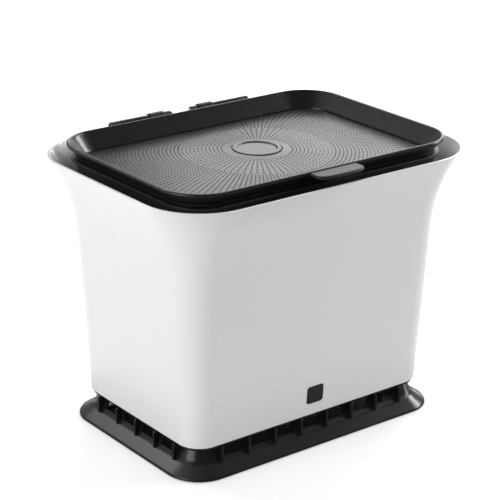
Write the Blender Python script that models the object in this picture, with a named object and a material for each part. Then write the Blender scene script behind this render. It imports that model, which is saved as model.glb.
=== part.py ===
"""Kitchen compost bin: a white flared body on a vented black base, with a bag ring and a perforated lid.

Metres, +Z up. X runs along the front, the front faces -Y, and the origin is on the ground under
the middle of the base. Every level outline of the bin is the body's rim outline moved in by an
inset, so a piece is given by pairs of an inset and a height.
"""

import math

import bmesh
import bpy
from mathutils import Matrix, Vector

# Clearances
GAP = 0.0003
KNUCKLE_GAP = 0.0004
COLLAR_PLAY = 0.0005
RING_PLAY = 0.0020
PAN_PLAY = 0.0010
LID_REST_GAP = 0.0004
CUT_OVERRUN = 0.0010

# Body: its sides lean out evenly, then flare towards the rim
RIM_HALF_LENGTH = 0.1543
RIM_HALF_DEPTH = 0.1126
RIM_CORNER = 0.0520
LEAST_CORNER = 0.0040
RIM_HEIGHT = 0.2323
RIM_EDGE = 0.0004
FOOT_HEIGHT = 0.0241
FOOT_INSET = 0.0322
FOOT_EDGE = 0.0005
FLARE_DEPTH = 0.0660
FLARE_REACH = 0.0188
FLARE_POWER = 2.16
BODY_WALL = 0.0020
FLOOR_RING_WIDTH = 0.0221
COLLAR_SEAT_DEPTH = 0.0523
COLLAR_SEAT_WIDTH = 0.0030
COLLAR_SEAT_SLOPE = 0.0060
AIR_RIB_DEPTH = 0.0030
AIR_RIB_THICKNESS = 0.0016
AIR_RIB_TOP_DEPTH = 0.0773

# Badge plate, let into the front near the foot
BADGE_HALF_WIDTH = 0.0085
BADGE_HALF_HEIGHT = 0.00775
BADGE_CORNER = 0.0026
BADGE_HEIGHT = 0.0423
BADGE_THICKNESS = 0.0009
BADGE_RECESS = 0.0010

# Base: a bell-shaped skirt, a neck with air windows and a flange under the body
SKIRT_INSET = 0.0214
SKIRT_CLEARANCE = 0.0003
SKIRT_NOSE_RISE = 0.0020
SKIRT_NOSE_RADIUS = 0.0034
SKIRT_WAIST_INSET = 0.0336
SKIRT_WAIST_RISE = 0.0101
SKIRT_WAIST_RADIUS = 0.0100
SKIRT_WALL = 0.0020
NECK_INSET = 0.0390
FLANGE_INSET = 0.0337
FLANGE_THICKNESS = 0.0022
RIB_PITCH = 0.0270
RIB_MARGIN = 0.0050
RIB_THICKNESS = 0.0020
RIB_INSET = 0.0305
RIB_TOP_DROP = 0.0014
WINDOW_WIDTH = 0.0180
WINDOW_BOTTOM = 0.0125
WINDOW_TOP_MARGIN = 0.0016

# Floor grate, which keeps the bag off the base so that air gets under it
GRATE_INSET = 0.0376
GRATE_THICKNESS = 0.0022
GRATE_MARGIN = 0.0060
GRATE_COLUMNS = 4
GRATE_ROWS = 9
GRATE_BRIDGE = 0.0060
GRATE_BAR = 0.0060
BOSS_RADIUS = 0.0040
BOSS_RISE = 0.0052
BOSS_ROOF = 0.0012

# Screws, driven from below through the flange and the body's floor into the grate's bosses
SCREW_INSET = 0.0503
SCREW_RADIUS = 0.0015
SCREW_HEAD_RADIUS = 0.0034
SCREW_HEAD = 0.0021
SCREW_DOME = 0.0006

# Foot pads on posts under the flange
PAD_END_INSET = 0.0693
PAD_INSET = 0.0503
PAD_RADIUS = 0.0055
PAD_THICKNESS = 0.0020
PAD_EDGE = 0.0005
STUD_RADIUS = 0.0016
STUD_LENGTH = 0.0035

# Collar: a frame let into the body's mouth, which carries the bag ring and the hinges
COLLAR_DROP = 0.0028
COLLAR_EDGE_INSET = 0.0196
COLLAR_FLANGE = 0.0018
COLLAR_WALL = 0.0020
COLLAR_EDGE = 0.0004
RING_SEAT_DEPTH = 0.0175
RING_SEAT_WIDTH = 0.0082
RING_SEAT_THICKNESS = 0.0020

# Bag ring: the bag's edge is folded over its lip and trapped on the collar's seat
RING_THICKNESS = 0.0020
BAG_SPACE = 0.0028
RING_LIP = 0.0028
RING_DROP = 0.0120
RING_EDGE = 0.0004
RING_TAB_HALF_WIDTH = 0.0160
RING_TAB_RISE = 0.0080
RING_TAB_CORNER = 0.0040
RING_TAB_THICKNESS = 0.0018

# Lid: a shallow tray with a rolled rim, sloping sides and a ledge for its vented panel
LID_RISE = 0.0127
LID_RIM_INSET = 0.0158
ROLL_RADIUS = 0.00165
LID_WALL = 0.0020
NECK_LID_INSET = 0.0233
NECK_LID_RISE = 0.0015
LID_SHOULDER_INSET = 0.0186
LID_LEDGE_WIDTH = 0.0047
LID_LEDGE_THICKNESS = 0.0020
LID_BEND_HEIGHT = 0.0030
LID_BEND_INSET = 0.0006
TAB_HALF_WIDTH = 0.0236
TAB_SIDE = 0.0062
TAB_REACH = 0.0147
TAB_POWER = 3.0
TAB_ROOT = 0.0018
TAB_DROP = 0.0008
TAB_THICKNESS = 0.0033
TAB_EDGE = 0.0007

# Vented panel in the lid, gently crowned, with a plain round medallion
PANEL_EDGE_DEPTH = 0.0016
PANEL_THICKNESS = 0.0018
PANEL_CROWN = 0.0055
MEDALLION_RADIUS = 0.0278
MEDALLION_RISE = 0.0006
MEDALLION_DISH_RADIUS = 0.0190
MEDALLION_DISH = 0.0008
VENT_ROWS = 20
VENT_START = 0.0325
VENT_LENGTH = 0.0125
VENT_BRIDGE = 0.0045
VENT_WIDTH = 0.0016
VENT_DOUBLING_RADIUS = 0.0640
VENT_MARGIN = 0.0035
HOOK_SPACING = 0.0600
HOOK_WIDTH = 0.0100
HOOK_THICKNESS = 0.0014
HOOK_NOSE = 0.0006
HOOK_NOSE_DEPTH = 0.0014

# Hinges: two at the back, each with knuckles of the collar, the ring, the lid and the collar again
HINGE_INSET = 0.0051
HINGE_RISE = 0.0075
HINGE_START = 0.0105
BARREL_RADIUS = 0.0038
RING_BARREL_RADIUS = 0.0050
PIN_RADIUS = 0.0016
PIN_HEAD_RADIUS = 0.0027
PIN_HEAD = 0.0015
PIN_END_WALL = 0.0006
INNER_KNUCKLE = 0.0075
RING_KNUCKLE = 0.0145
LID_KNUCKLE = 0.0292
OUTER_KNUCKLE = 0.0090
COLLAR_ARM = 0.0026
RING_ARM = 0.0038
LID_ARM = 0.0030
COLLAR_ARM_ROOT = 0.0019
RING_ARM_ROOT = 0.0016
LID_ARM_ROOT = 0.0017
LID_ARM_DROP = 0.0016

# Shares, of the way from an arm's root to the hinge axis, at which it bends
COLLAR_ARM_SHARES = ((0.0, 0.0), (0.52, 0.08), (1.0, 1.0))
RING_ARM_SHARES = ((0.0, 0.0), (0.45, 0.07), (0.75, 0.40), (1.0, 1.0))
LID_ARM_SHARES = ((0.0, 0.0), (1.0, 1.0))

# Shares of the panel's outline at which its crown is lofted
PANEL_RING_SHARES = (1.0, 0.75, 0.5)

# Facets
CORNER_STEPS = 6
FLARE_STEPS = 7
NOSE_STEPS = 2
WAIST_STEPS = 2
ROLL_STEPS = 5
BARREL_SIDES = 16
PIN_SIDES = 12
TAB_STEPS = 10
DISC_SIDES = 32

SIDES = (-1, 1)


def clear_scene():
    """Remove every object of the scene that was open."""
    for thing in list(bpy.data.objects):
        bpy.data.objects.remove(thing, do_unlink=True)


def finish(name, colour, roughness, metallic=0.0):
    """A plain material of one colour."""
    material = bpy.data.materials.new(name)
    material.use_nodes = True
    shader = material.node_tree.nodes["Principled BSDF"]
    shader.inputs["Base Color"].default_value = (*colour, 1.0)
    shader.inputs["Roughness"].default_value = roughness
    shader.inputs["Metallic"].default_value = metallic
    return material


def lofted(rings, closed=False):
    """Points and faces through rings of as many points; an open loft is capped at both ends."""
    count = len(rings[0])
    points = [point for ring in rings for point in ring]
    faces = []
    for band in range(len(rings) if closed else len(rings) - 1):
        here = band * count
        there = (band + 1) % len(rings) * count
        for step in range(count):
            after = (step + 1) % count
            faces.append((here + step, here + after, there + after, there + step))
    if not closed:
        faces.append(tuple(range(count)))
        faces.append(tuple(range(len(points) - count, len(points))))
    return points, faces


def gathered(shapes):
    """Several shapes as one."""
    points, faces = [], []
    for shape_points, shape_faces in shapes:
        start = len(points)
        points.extend(shape_points)
        faces.extend(tuple(start + corner for corner in face) for face in shape_faces)
    return points, faces


def prism(outline, along):
    """An outline in space pushed along a vector."""
    return lofted([outline, [Vector(point) + Vector(along) for point in outline]])


def solid(name, shape, material):
    """A named object from points and faces, with its faces turned outwards."""
    points, faces = shape
    mesh = bpy.data.meshes.new(name)
    mesh.from_pydata([tuple(point) for point in points], [], faces)
    work = bmesh.new()
    work.from_mesh(mesh)
    bmesh.ops.recalc_face_normals(work, faces=work.faces)
    work.to_mesh(mesh)
    work.free()
    mesh.materials.append(material)
    mesh.shade_smooth()
    mesh.set_sharp_from_angle(angle=math.radians(30.0))
    thing = bpy.data.objects.new(name, mesh)
    bpy.context.collection.objects.link(thing)
    return thing


def combine(piece, name, shape, operation):
    """Add a shape to a piece, or cut it out, with a live Boolean."""
    tool = solid(name, shape, piece.data.materials[0])
    tool.hide_render = True
    tool.display_type = "WIRE"
    modifier = piece.modifiers.new(name, "BOOLEAN")
    modifier.object = tool
    modifier.operation = operation


def rounded_rectangle(half_width, half_height, radius):
    """Corner points of a flat rounded rectangle, anticlockwise."""
    corners = ((1, 1), (-1, 1), (-1, -1), (1, -1))
    points = []
    for quarter, (across, up) in enumerate(corners):
        for step in range(CORNER_STEPS + 1):
            angle = math.pi / 2 * (quarter + step / CORNER_STEPS)
            points.append(
                (
                    across * (half_width - radius) + radius * math.cos(angle),
                    up * (half_height - radius) + radius * math.sin(angle),
                )
            )
    return points


def outline(inset, height, share=1.0):
    """The rim's outline moved in by an inset, at a height, and then scaled about the middle."""
    radius = max(RIM_CORNER - inset, LEAST_CORNER)
    flat = rounded_rectangle(RIM_HALF_LENGTH - inset, RIM_HALF_DEPTH - inset, radius)
    return [(share * x, share * y, height) for x, y in flat]


def frame(profile):
    """A closed frame whose section is a profile of insets and heights."""
    return lofted([outline(inset, height) for inset, height in profile], closed=True)


def box(low, high):
    """A box between two corners."""
    (left, front, bottom), (right, back, top) = low, high
    base = [(left, front, bottom), (right, front, bottom), (right, back, bottom), (left, back, bottom)]
    return prism(base, (0, 0, top - bottom))


def circle(radius, sides):
    """Corner points of a flat circle about nought, anticlockwise."""
    turns = [math.tau * turn / sides for turn in range(sides)]
    return [(radius * math.cos(turn), radius * math.sin(turn)) for turn in turns]


def level_circle(x, y, radius, height, sides=PIN_SIDES):
    """A level circle about a place."""
    return [(x + across, y + along, height) for across, along in circle(radius, sides)]


def hinge_circle(x, radius, sides):
    """An upright circle about the hinge axis, at an X."""
    return [(x, hinge_y() + across, hinge_height() + up) for across, up in circle(radius, sides)]


def post(x, y, bottom, top, radius, sides=PIN_SIDES):
    """An upright round post."""
    return prism(level_circle(x, y, radius, bottom, sides), (0, 0, top - bottom))


def rod(start, end, radius, sides):
    """A round rod along the hinge axis, from one X to another."""
    return prism(hinge_circle(start, radius, sides), (end - start, 0, 0))


def round_bore(radius, sides):
    """Radius of a faceted bore whose flats clear a round piece by the gap."""
    return (radius + GAP) / math.cos(math.pi / sides)


def arc(centre, radius, start, end, steps):
    """Points of an arc, in degrees, about a centre in a flat plane."""
    points = []
    for step in range(steps + 1):
        angle = math.radians(start + (end - start) * step / steps)
        points.append((centre[0] + radius * math.cos(angle), centre[1] + radius * math.sin(angle)))
    return points


def rounded(before, corner, after, radius, steps):
    """Points of the arc that rounds a flat path's bend."""
    bend = Vector(corner)
    back, on = (Vector(before) - bend).normalized(), (Vector(after) - bend).normalized()
    half = back.angle(on) / 2
    centre = bend + (back + on).normalized() * radius / math.sin(half)
    start = bend + back * radius / math.tan(half) - centre
    end = bend + on * radius / math.tan(half) - centre
    sweep = math.pi - 2 * half
    points = []
    for step in range(steps + 1):
        turn = sweep * step / steps
        spoke = (start * math.sin(sweep - turn) + end * math.sin(turn)) / math.sin(sweep)
        points.append(tuple(centre + spoke))
    return points


def thickened(path, thickness):
    """A flat strip of a thickness along a path: down one side and back up the other."""
    left, right = [], []
    for place, (across, up) in enumerate(path):
        before = path[max(place - 1, 0)]
        after = path[min(place + 1, len(path) - 1)]
        run, rise = after[0] - before[0], after[1] - before[1]
        length = math.hypot(run, rise)
        push = (-rise / length * thickness / 2, run / length * thickness / 2)
        left.append((across + push[0], up + push[1]))
        right.append((across - push[0], up - push[1]))
    return left + right[::-1]


def moved_in(curve, distance):
    """A curve of insets and heights moved to the side on which the inset grows."""
    moved = []
    for place, (inset, height) in enumerate(curve):
        before = curve[max(place - 1, 0)]
        after = curve[min(place + 1, len(curve) - 1)]
        run, rise = after[0] - before[0], after[1] - before[1]
        length = math.hypot(run, rise)
        moved.append((inset + rise / length * distance, height - run / length * distance))
    return moved


def rib_places(half_side):
    """Places of a row of ribs about the middle of a side, as many as its straight part takes."""
    straight = 2 * (half_side - RIM_CORNER - RIB_MARGIN)
    count = 1 + int(straight / RIB_PITCH)
    return [RIB_PITCH * (place - (count - 1) / 2) for place in range(count)]


def between(places):
    """The places half way between neighbouring ones."""
    return [(here + there) / 2 for here, there in zip(places, places[1:])]


def rib_rows():
    """Places of the ribs along the front and back, and along the two ends."""
    return rib_places(RIM_HALF_LENGTH), rib_places(RIM_HALF_DEPTH)


def round_the_sides(front_places, side_places, section, thickness):
    """The same upright section, of insets and heights, pushed through each place of all four sides."""
    shapes = []
    for side in SIDES:
        for x in front_places:
            left = x - thickness / 2
            face = [(left, side * (RIM_HALF_DEPTH - inset), height) for inset, height in section]
            shapes.append(prism(face, (thickness, 0, 0)))
        for y in side_places:
            near = y - thickness / 2
            face = [(side * (RIM_HALF_LENGTH - inset), near, height) for inset, height in section]
            shapes.append(prism(face, (0, thickness, 0)))
    return gathered(shapes)


def corners_at(inset_x, inset_y):
    """The four places at insets from the rim's two sides, anticlockwise from the right back."""
    x, y = RIM_HALF_LENGTH - inset_x, RIM_HALF_DEPTH - inset_y
    return [(x, y), (-x, y), (-x, -y), (x, -y)]


def flare_height():
    """Height at which the body's sides begin to flare."""
    return RIM_HEIGHT - FLARE_DEPTH


def collar_seat_height():
    """Height of the seat inside the body on which the collar stands."""
    return RIM_HEIGHT - COLLAR_SEAT_DEPTH


def air_rib_top():
    """Height at which the body's inner ribs end."""
    return RIM_HEIGHT - AIR_RIB_TOP_DEPTH


def collar_height():
    """Height of the collar's flange, a little under the rim."""
    return RIM_HEIGHT - COLLAR_DROP


def ring_seat_height():
    """Height of the seat in the collar on which the bag ring lies."""
    return collar_height() - RING_SEAT_DEPTH


def lid_height():
    """Height of the lid's rolled rim."""
    return collar_height() + LID_RISE


def panel_edge_height():
    """Height of the vented panel's top at its edge."""
    return collar_height() - PANEL_EDGE_DEPTH


def hinge_height():
    """Height of the hinge axis."""
    return collar_height() + HINGE_RISE


def body_draft():
    """How much the body's side leans in for each unit of height, below the flare."""
    return (FOOT_INSET - FLARE_REACH) / (RIM_HEIGHT - FOOT_HEIGHT)


def body_inset(height):
    """Inset of the body's outer face: an even draft, and a flare that grows as a power of the climb."""
    climb = max(0.0, (height - flare_height()) / FLARE_DEPTH)
    return body_draft() * (RIM_HEIGHT - height) + FLARE_REACH * (1 - climb**FLARE_POWER)


def body_inner_inset(height):
    """Inset of the body's inner face, a wall away square to the outer one."""
    climb = max(0.0, (height - flare_height()) / FLARE_DEPTH)
    flare = FLARE_REACH * FLARE_POWER * climb ** (FLARE_POWER - 1) / FLARE_DEPTH
    return body_inset(height) + BODY_WALL * math.hypot(1, body_draft() + flare)


def floor_top():
    """Height of the top of the body's floor ring."""
    return FOOT_HEIGHT + BODY_WALL


def flange_top():
    """Height of the base's flange, on which the body stands."""
    return FOOT_HEIGHT - GAP


def flange_bottom():
    """Height of the underside of the base's flange."""
    return flange_top() - FLANGE_THICKNESS


def grate_bottom():
    """Height of the grate's underside."""
    return floor_top() + GAP


def boss_top():
    """Height of the grate's screw bosses."""
    return grate_bottom() + GRATE_THICKNESS + BOSS_RISE


def collar_inset():
    """Inset of the collar's outer wall, which drops into the body down to its seat."""
    return body_inner_inset(collar_seat_height()) + COLLAR_PLAY


def mouth_inset():
    """Inset of the collar's mouth, into which the ring and the lid drop."""
    return collar_inset() + COLLAR_WALL


def pan_inset():
    """Inset of the lid's outer wall where it drops into the collar."""
    return mouth_inset() + PAN_PLAY


def panel_inset():
    """Inset of the vented panel's edge, inside the lid's wall."""
    return pan_inset() + LID_WALL + GAP


def ledge_top():
    """Height of the lid's ledge, on which the panel rests."""
    return panel_edge_height() - PANEL_THICKNESS - GAP


def hinge_y():
    """Place of the hinge axis behind the middle."""
    return RIM_HALF_DEPTH - HINGE_INSET


def knuckles():
    """First and last X of each knuckle of the right hinge, from the middle outwards."""
    widths = (INNER_KNUCKLE, RING_KNUCKLE, LID_KNUCKLE, OUTER_KNUCKLE)
    spans = []
    start = HINGE_START
    for width in widths:
        spans.append((start, start + width))
        start += width + KNUCKLE_GAP
    return spans


def add_knuckles(piece, spans, root, shares, thickness, radius=BARREL_RADIUS):
    """Join arms and barrels to a piece at both hinges, and bore them for the pins."""
    axis = (hinge_y(), hinge_height())
    path = [
        (root[0] + run * (axis[0] - root[0]), root[1] + rise * (axis[1] - root[1]))
        for run, rise in shares
    ]
    strip = thickened(path, thickness)
    arms, barrels = [], []
    for side in SIDES:
        for start, end in spans:
            arms.append(prism([(side * start, y, z) for y, z in strip], (side * (end - start), 0, 0)))
            barrels.append(rod(side * start, side * end, radius, BARREL_SIDES))
    combine(piece, piece.name + "_arms", gathered(arms), "UNION")
    combine(piece, piece.name + "_barrels", gathered(barrels), "UNION")
    bore_end = knuckles()[-1][1] - PIN_END_WALL
    bores = [
        rod(side * (HINGE_START - CUT_OVERRUN), side * bore_end, round_bore(PIN_RADIUS, PIN_SIDES), PIN_SIDES)
        for side in SIDES
    ]
    combine(piece, piece.name + "_bores", gathered(bores), "DIFFERENCE")


def build_body(material):
    """The flared bucket: outer face, rim, inner face with the collar's seat, and a floor ring."""
    climbs = [flare_height() + FLARE_DEPTH * step / FLARE_STEPS for step in range(FLARE_STEPS)]
    outer = [(FOOT_INSET + FOOT_EDGE, FOOT_HEIGHT), (FOOT_INSET, FOOT_HEIGHT + FOOT_EDGE)]
    outer += [(body_inset(height), height) for height in climbs]
    outer += [(0.0, RIM_HEIGHT - RIM_EDGE), (RIM_EDGE, RIM_HEIGHT)]
    seat_inset = body_inner_inset(collar_seat_height()) + COLLAR_SEAT_WIDTH
    seat_foot = collar_seat_height() - COLLAR_SEAT_SLOPE
    lip = body_inner_inset(RIM_HEIGHT)
    inner = [(lip - RIM_EDGE, RIM_HEIGHT), (body_inner_inset(RIM_HEIGHT - RIM_EDGE), RIM_HEIGHT - RIM_EDGE)]
    inner += [
        (body_inner_inset(height), height)
        for height in reversed(climbs)
        if height > collar_seat_height() + CUT_OVERRUN
    ]
    inner += [
        (body_inner_inset(collar_seat_height()), collar_seat_height()),
        (seat_inset, collar_seat_height()),
        (seat_inset, collar_seat_height() - BODY_WALL),
        (body_inner_inset(seat_foot), seat_foot),
        (body_inner_inset(flare_height()), flare_height()),
        (body_inner_inset(floor_top()), floor_top()),
        (FOOT_INSET + BODY_WALL + FLOOR_RING_WIDTH, floor_top()),
        (FOOT_INSET + BODY_WALL + FLOOR_RING_WIDTH, FOOT_HEIGHT),
    ]
    body = solid("outer_shell", frame(outer + inner), material)

    rib_foot = floor_top() - BODY_WALL / 2
    section = [
        (body_inset(rib_foot) + BODY_WALL / 2, rib_foot),
        (body_inset(air_rib_top()) + BODY_WALL / 2, air_rib_top()),
        (body_inner_inset(air_rib_top()) + AIR_RIB_DEPTH, air_rib_top() - AIR_RIB_DEPTH),
        (body_inner_inset(rib_foot) + AIR_RIB_DEPTH, rib_foot),
    ]
    ribs = round_the_sides(*rib_rows(), section, AIR_RIB_THICKNESS)
    combine(body, "air_ribs", ribs, "UNION")

    holes = [
        post(x, y, FOOT_HEIGHT - CUT_OVERRUN, floor_top() + CUT_OVERRUN, round_bore(SCREW_RADIUS, PIN_SIDES))
        for x, y in corners_at(SCREW_INSET, SCREW_INSET)
    ]
    combine(body, "body_screw_holes", gathered(holes), "DIFFERENCE")
    combine(body, "badge_recess", badge_shape(GAP, -BADGE_RECESS, CUT_OVERRUN), "DIFFERENCE")
    return body


def badge_shape(margin, low, high):
    """The badge's outline grown by a margin and pushed square to the front wall from low to high."""
    flat = rounded_rectangle(BADGE_HALF_WIDTH + margin, BADGE_HALF_HEIGHT + margin, BADGE_CORNER + margin)
    lean = Matrix.Rotation(math.atan(body_draft()), 4, "X")
    centre = Vector((0, body_inset(BADGE_HEIGHT) - RIM_HALF_DEPTH, BADGE_HEIGHT))
    back = [centre + lean @ Vector((x, -low, z)) for x, z in flat]
    return prism(back, lean @ Vector((0, low - high, 0)))


def build_badge(material):
    """A plain rounded plate let into the recess in the front."""
    low = GAP - BADGE_RECESS
    return solid("front_badge", badge_shape(0.0, low, low + BADGE_THICKNESS), material)


def skirt_curve():
    """The skirt's outer face: upright, over a rounded nose up a slope, and through a waist to the neck."""
    edge = (SKIRT_INSET, SKIRT_CLEARANCE)
    nose = (SKIRT_INSET, SKIRT_CLEARANCE + SKIRT_NOSE_RISE)
    waist = (SKIRT_WAIST_INSET, SKIRT_CLEARANCE + SKIRT_WAIST_RISE)
    neck = (NECK_INSET, flange_bottom())
    curve = [edge] + rounded(edge, nose, waist, SKIRT_NOSE_RADIUS, NOSE_STEPS)
    return curve + rounded(nose, waist, neck, SKIRT_WAIST_RADIUS, WAIST_STEPS) + [neck]


def build_base(material):
    """The base: skirt, neck and flange in one section, with ribs, windows, posts and bores."""
    outer = skirt_curve()
    inner = moved_in(outer, SKIRT_WALL)
    opening = FOOT_INSET + BODY_WALL + FLOOR_RING_WIDTH
    (low_inset, low), (high_inset, high) = outer[-2:]
    inner_neck = NECK_INSET + SKIRT_WALL * math.hypot(high_inset - low_inset, high - low) / (high - low)
    profile = list(outer)
    profile += [(FLANGE_INSET, flange_bottom()), (FLANGE_INSET, flange_top()), (opening, flange_top())]
    profile += [(opening, flange_bottom()), (inner_neck, flange_bottom())] + inner[-2::-1]
    base = solid("base_plinth", frame(profile), material)

    middle = [point for point in moved_in(outer, SKIRT_WALL / 2) if point[0] > RIB_INSET]
    section = [(RIB_INSET, skirt_height(RIB_INSET) - SKIRT_WALL / 2)] + middle[:-1]
    section += [(NECK_INSET + SKIRT_WALL / 2, flange_bottom() + FLANGE_THICKNESS / 2)]
    section += [(RIB_INSET, flange_top() - RIB_TOP_DROP)]
    rows = rib_rows()
    ribs = round_the_sides(*rows, section, RIB_THICKNESS)
    combine(base, "base_ribs", ribs, "UNION")

    pad_places = pads()
    posts = [
        post(x, y, PAD_THICKNESS + GAP, flange_bottom() + FLANGE_THICKNESS / 2, PAD_RADIUS, BARREL_SIDES)
        for x, y in pad_places
    ]
    combine(base, "pad_posts", gathered(posts), "UNION")

    window_top = flange_bottom() - WINDOW_TOP_MARGIN
    window = [
        (RIB_INSET, WINDOW_BOTTOM),
        (inner_neck, WINDOW_BOTTOM),
        (inner_neck, window_top),
        (RIB_INSET, window_top),
    ]
    windows = round_the_sides(*(between(row) for row in rows), window, WINDOW_WIDTH)
    combine(base, "air_windows", windows, "DIFFERENCE")

    bores = [
        post(x, y, 0.0, PAD_THICKNESS + GAP + STUD_LENGTH + GAP, round_bore(STUD_RADIUS, PIN_SIDES))
        for x, y in pad_places
    ]
    low, high = flange_bottom() - CUT_OVERRUN, flange_top() + CUT_OVERRUN
    bores += [
        post(x, y, low, high, round_bore(SCREW_RADIUS, PIN_SIDES))
        for x, y in corners_at(SCREW_INSET, SCREW_INSET)
    ]
    combine(base, "base_bores", gathered(bores), "DIFFERENCE")
    return base


def skirt_height(inset):
    """Height of the skirt's outer face at an inset, read along its curve."""
    curve = skirt_curve()
    for (low_inset, low), (high_inset, high) in zip(curve, curve[1:]):
        if low_inset <= inset <= high_inset:
            return low + (high - low) * (inset - low_inset) / (high_inset - low_inset)
    return curve[-1][1]


def pads():
    """Places of the four foot pads, two along each long side."""
    x, y = RIM_HALF_LENGTH - PAD_END_INSET, RIM_HALF_DEPTH - PAD_INSET
    return [(end * x, side * y) for side in SIDES for end in SIDES]


def build_pads(material):
    """Soft pads with a stud pressed up into each post."""
    made = []
    for number, (x, y) in enumerate(pads(), 1):
        rings = [
            level_circle(x, y, PAD_RADIUS - PAD_EDGE, 0.0),
            level_circle(x, y, PAD_RADIUS, PAD_EDGE),
            level_circle(x, y, PAD_RADIUS, PAD_THICKNESS),
            level_circle(x, y, STUD_RADIUS, PAD_THICKNESS),
            level_circle(x, y, STUD_RADIUS, PAD_THICKNESS + STUD_LENGTH),
        ]
        made.append(solid(f"foot_pad_{number}", lofted(rings), material))
    return made


def build_grate(material):
    """The slotted floor plate with four screw bosses."""
    bottom = grate_bottom()
    top = bottom + GRATE_THICKNESS
    grate = solid("floor_grate", lofted([outline(GRATE_INSET, bottom), outline(GRATE_INSET, top)]), material)

    bosses = [
        post(x, y, bottom + GRATE_THICKNESS / 2, boss_top(), BOSS_RADIUS, BARREL_SIDES)
        for x, y in corners_at(SCREW_INSET, SCREW_INSET)
    ]
    combine(grate, "grate_bosses", gathered(bosses), "UNION")

    field_inset = FOOT_INSET + BODY_WALL + FLOOR_RING_WIDTH + GRATE_MARGIN
    half_length, half_depth = RIM_HALF_LENGTH - field_inset, RIM_HALF_DEPTH - field_inset
    pitch_x, pitch_y = 2 * half_length / GRATE_COLUMNS, 2 * half_depth / GRATE_ROWS
    slots = []
    for column in range(GRATE_COLUMNS):
        for row in range(GRATE_ROWS):
            x = pitch_x * (column + 0.5) - half_length
            y = pitch_y * (row + 0.5) - half_depth
            reach, width = (pitch_x - GRATE_BRIDGE) / 2, (pitch_y - GRATE_BAR) / 2
            low = (x - reach, y - width, bottom - CUT_OVERRUN)
            slots.append(box(low, (x + reach, y + width, top + CUT_OVERRUN)))
    combine(grate, "grate_slots", gathered(slots), "DIFFERENCE")

    bores = [
        post(x, y, bottom - CUT_OVERRUN, boss_top() - BOSS_ROOF, round_bore(SCREW_RADIUS, PIN_SIDES))
        for x, y in corners_at(SCREW_INSET, SCREW_INSET)
    ]
    combine(grate, "grate_bores", gathered(bores), "DIFFERENCE")
    return grate


def build_screws(material):
    """Four screws with low domed heads under the flange."""
    head_top = flange_bottom() - GAP
    tip = boss_top() - BOSS_ROOF - GAP
    made = []
    for number, (x, y) in enumerate(corners_at(SCREW_INSET, SCREW_INSET), 1):
        rings = [
            level_circle(x, y, SCREW_HEAD_RADIUS - SCREW_DOME, head_top - SCREW_HEAD),
            level_circle(x, y, SCREW_HEAD_RADIUS, head_top - SCREW_HEAD + SCREW_DOME),
            level_circle(x, y, SCREW_HEAD_RADIUS, head_top),
            level_circle(x, y, SCREW_RADIUS, head_top),
            level_circle(x, y, SCREW_RADIUS, tip - SCREW_RADIUS),
            level_circle(x, y, SCREW_RADIUS / 2, tip),
        ]
        made.append(solid(f"base_screw_{number}", lofted(rings), material))
    return made


def build_collar(material):
    """The collar: a deep wall, a flange round the top, a seat for the bag ring, and hinge knuckles."""
    outer, inner = collar_inset(), mouth_inset()
    foot = collar_seat_height() + GAP
    under = collar_height() - COLLAR_FLANGE
    seat = inner + RING_SEAT_WIDTH
    seat_under = ring_seat_height() - RING_SEAT_THICKNESS
    profile = [
        (outer, foot),
        (outer, under),
        (COLLAR_EDGE_INSET + COLLAR_EDGE, under),
        (COLLAR_EDGE_INSET, under + COLLAR_EDGE),
        (COLLAR_EDGE_INSET, collar_height() - COLLAR_EDGE),
        (COLLAR_EDGE_INSET + COLLAR_EDGE, collar_height()),
        (inner, collar_height()),
        (inner, ring_seat_height()),
        (seat, ring_seat_height()),
        (seat, seat_under),
        (inner, seat_under - RING_SEAT_THICKNESS),
        (inner, foot),
    ]
    collar = solid("collar", frame(profile), material)

    inner_span, ring_span, _, outer_span = knuckles()
    front = RIM_HALF_DEPTH - inner - CUT_OVERRUN
    back = RIM_HALF_DEPTH - COLLAR_EDGE_INSET + CUT_OVERRUN
    notches = []
    for side in SIDES:
        left, right = sorted((side * (ring_span[0] - KNUCKLE_GAP), side * (ring_span[1] + KNUCKLE_GAP)))
        top = collar_height() + CUT_OVERRUN
        notches.append(box((left, front, ring_seat_height()), (right, back, top)))
    combine(collar, "collar_notches", gathered(notches), "DIFFERENCE")
    root = (RIM_HALF_DEPTH - COLLAR_EDGE_INSET - COLLAR_ARM_ROOT, collar_height() - COLLAR_FLANGE / 2)
    add_knuckles(collar, (inner_span, outer_span), root, COLLAR_ARM_SHARES, COLLAR_ARM)
    return collar


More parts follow.
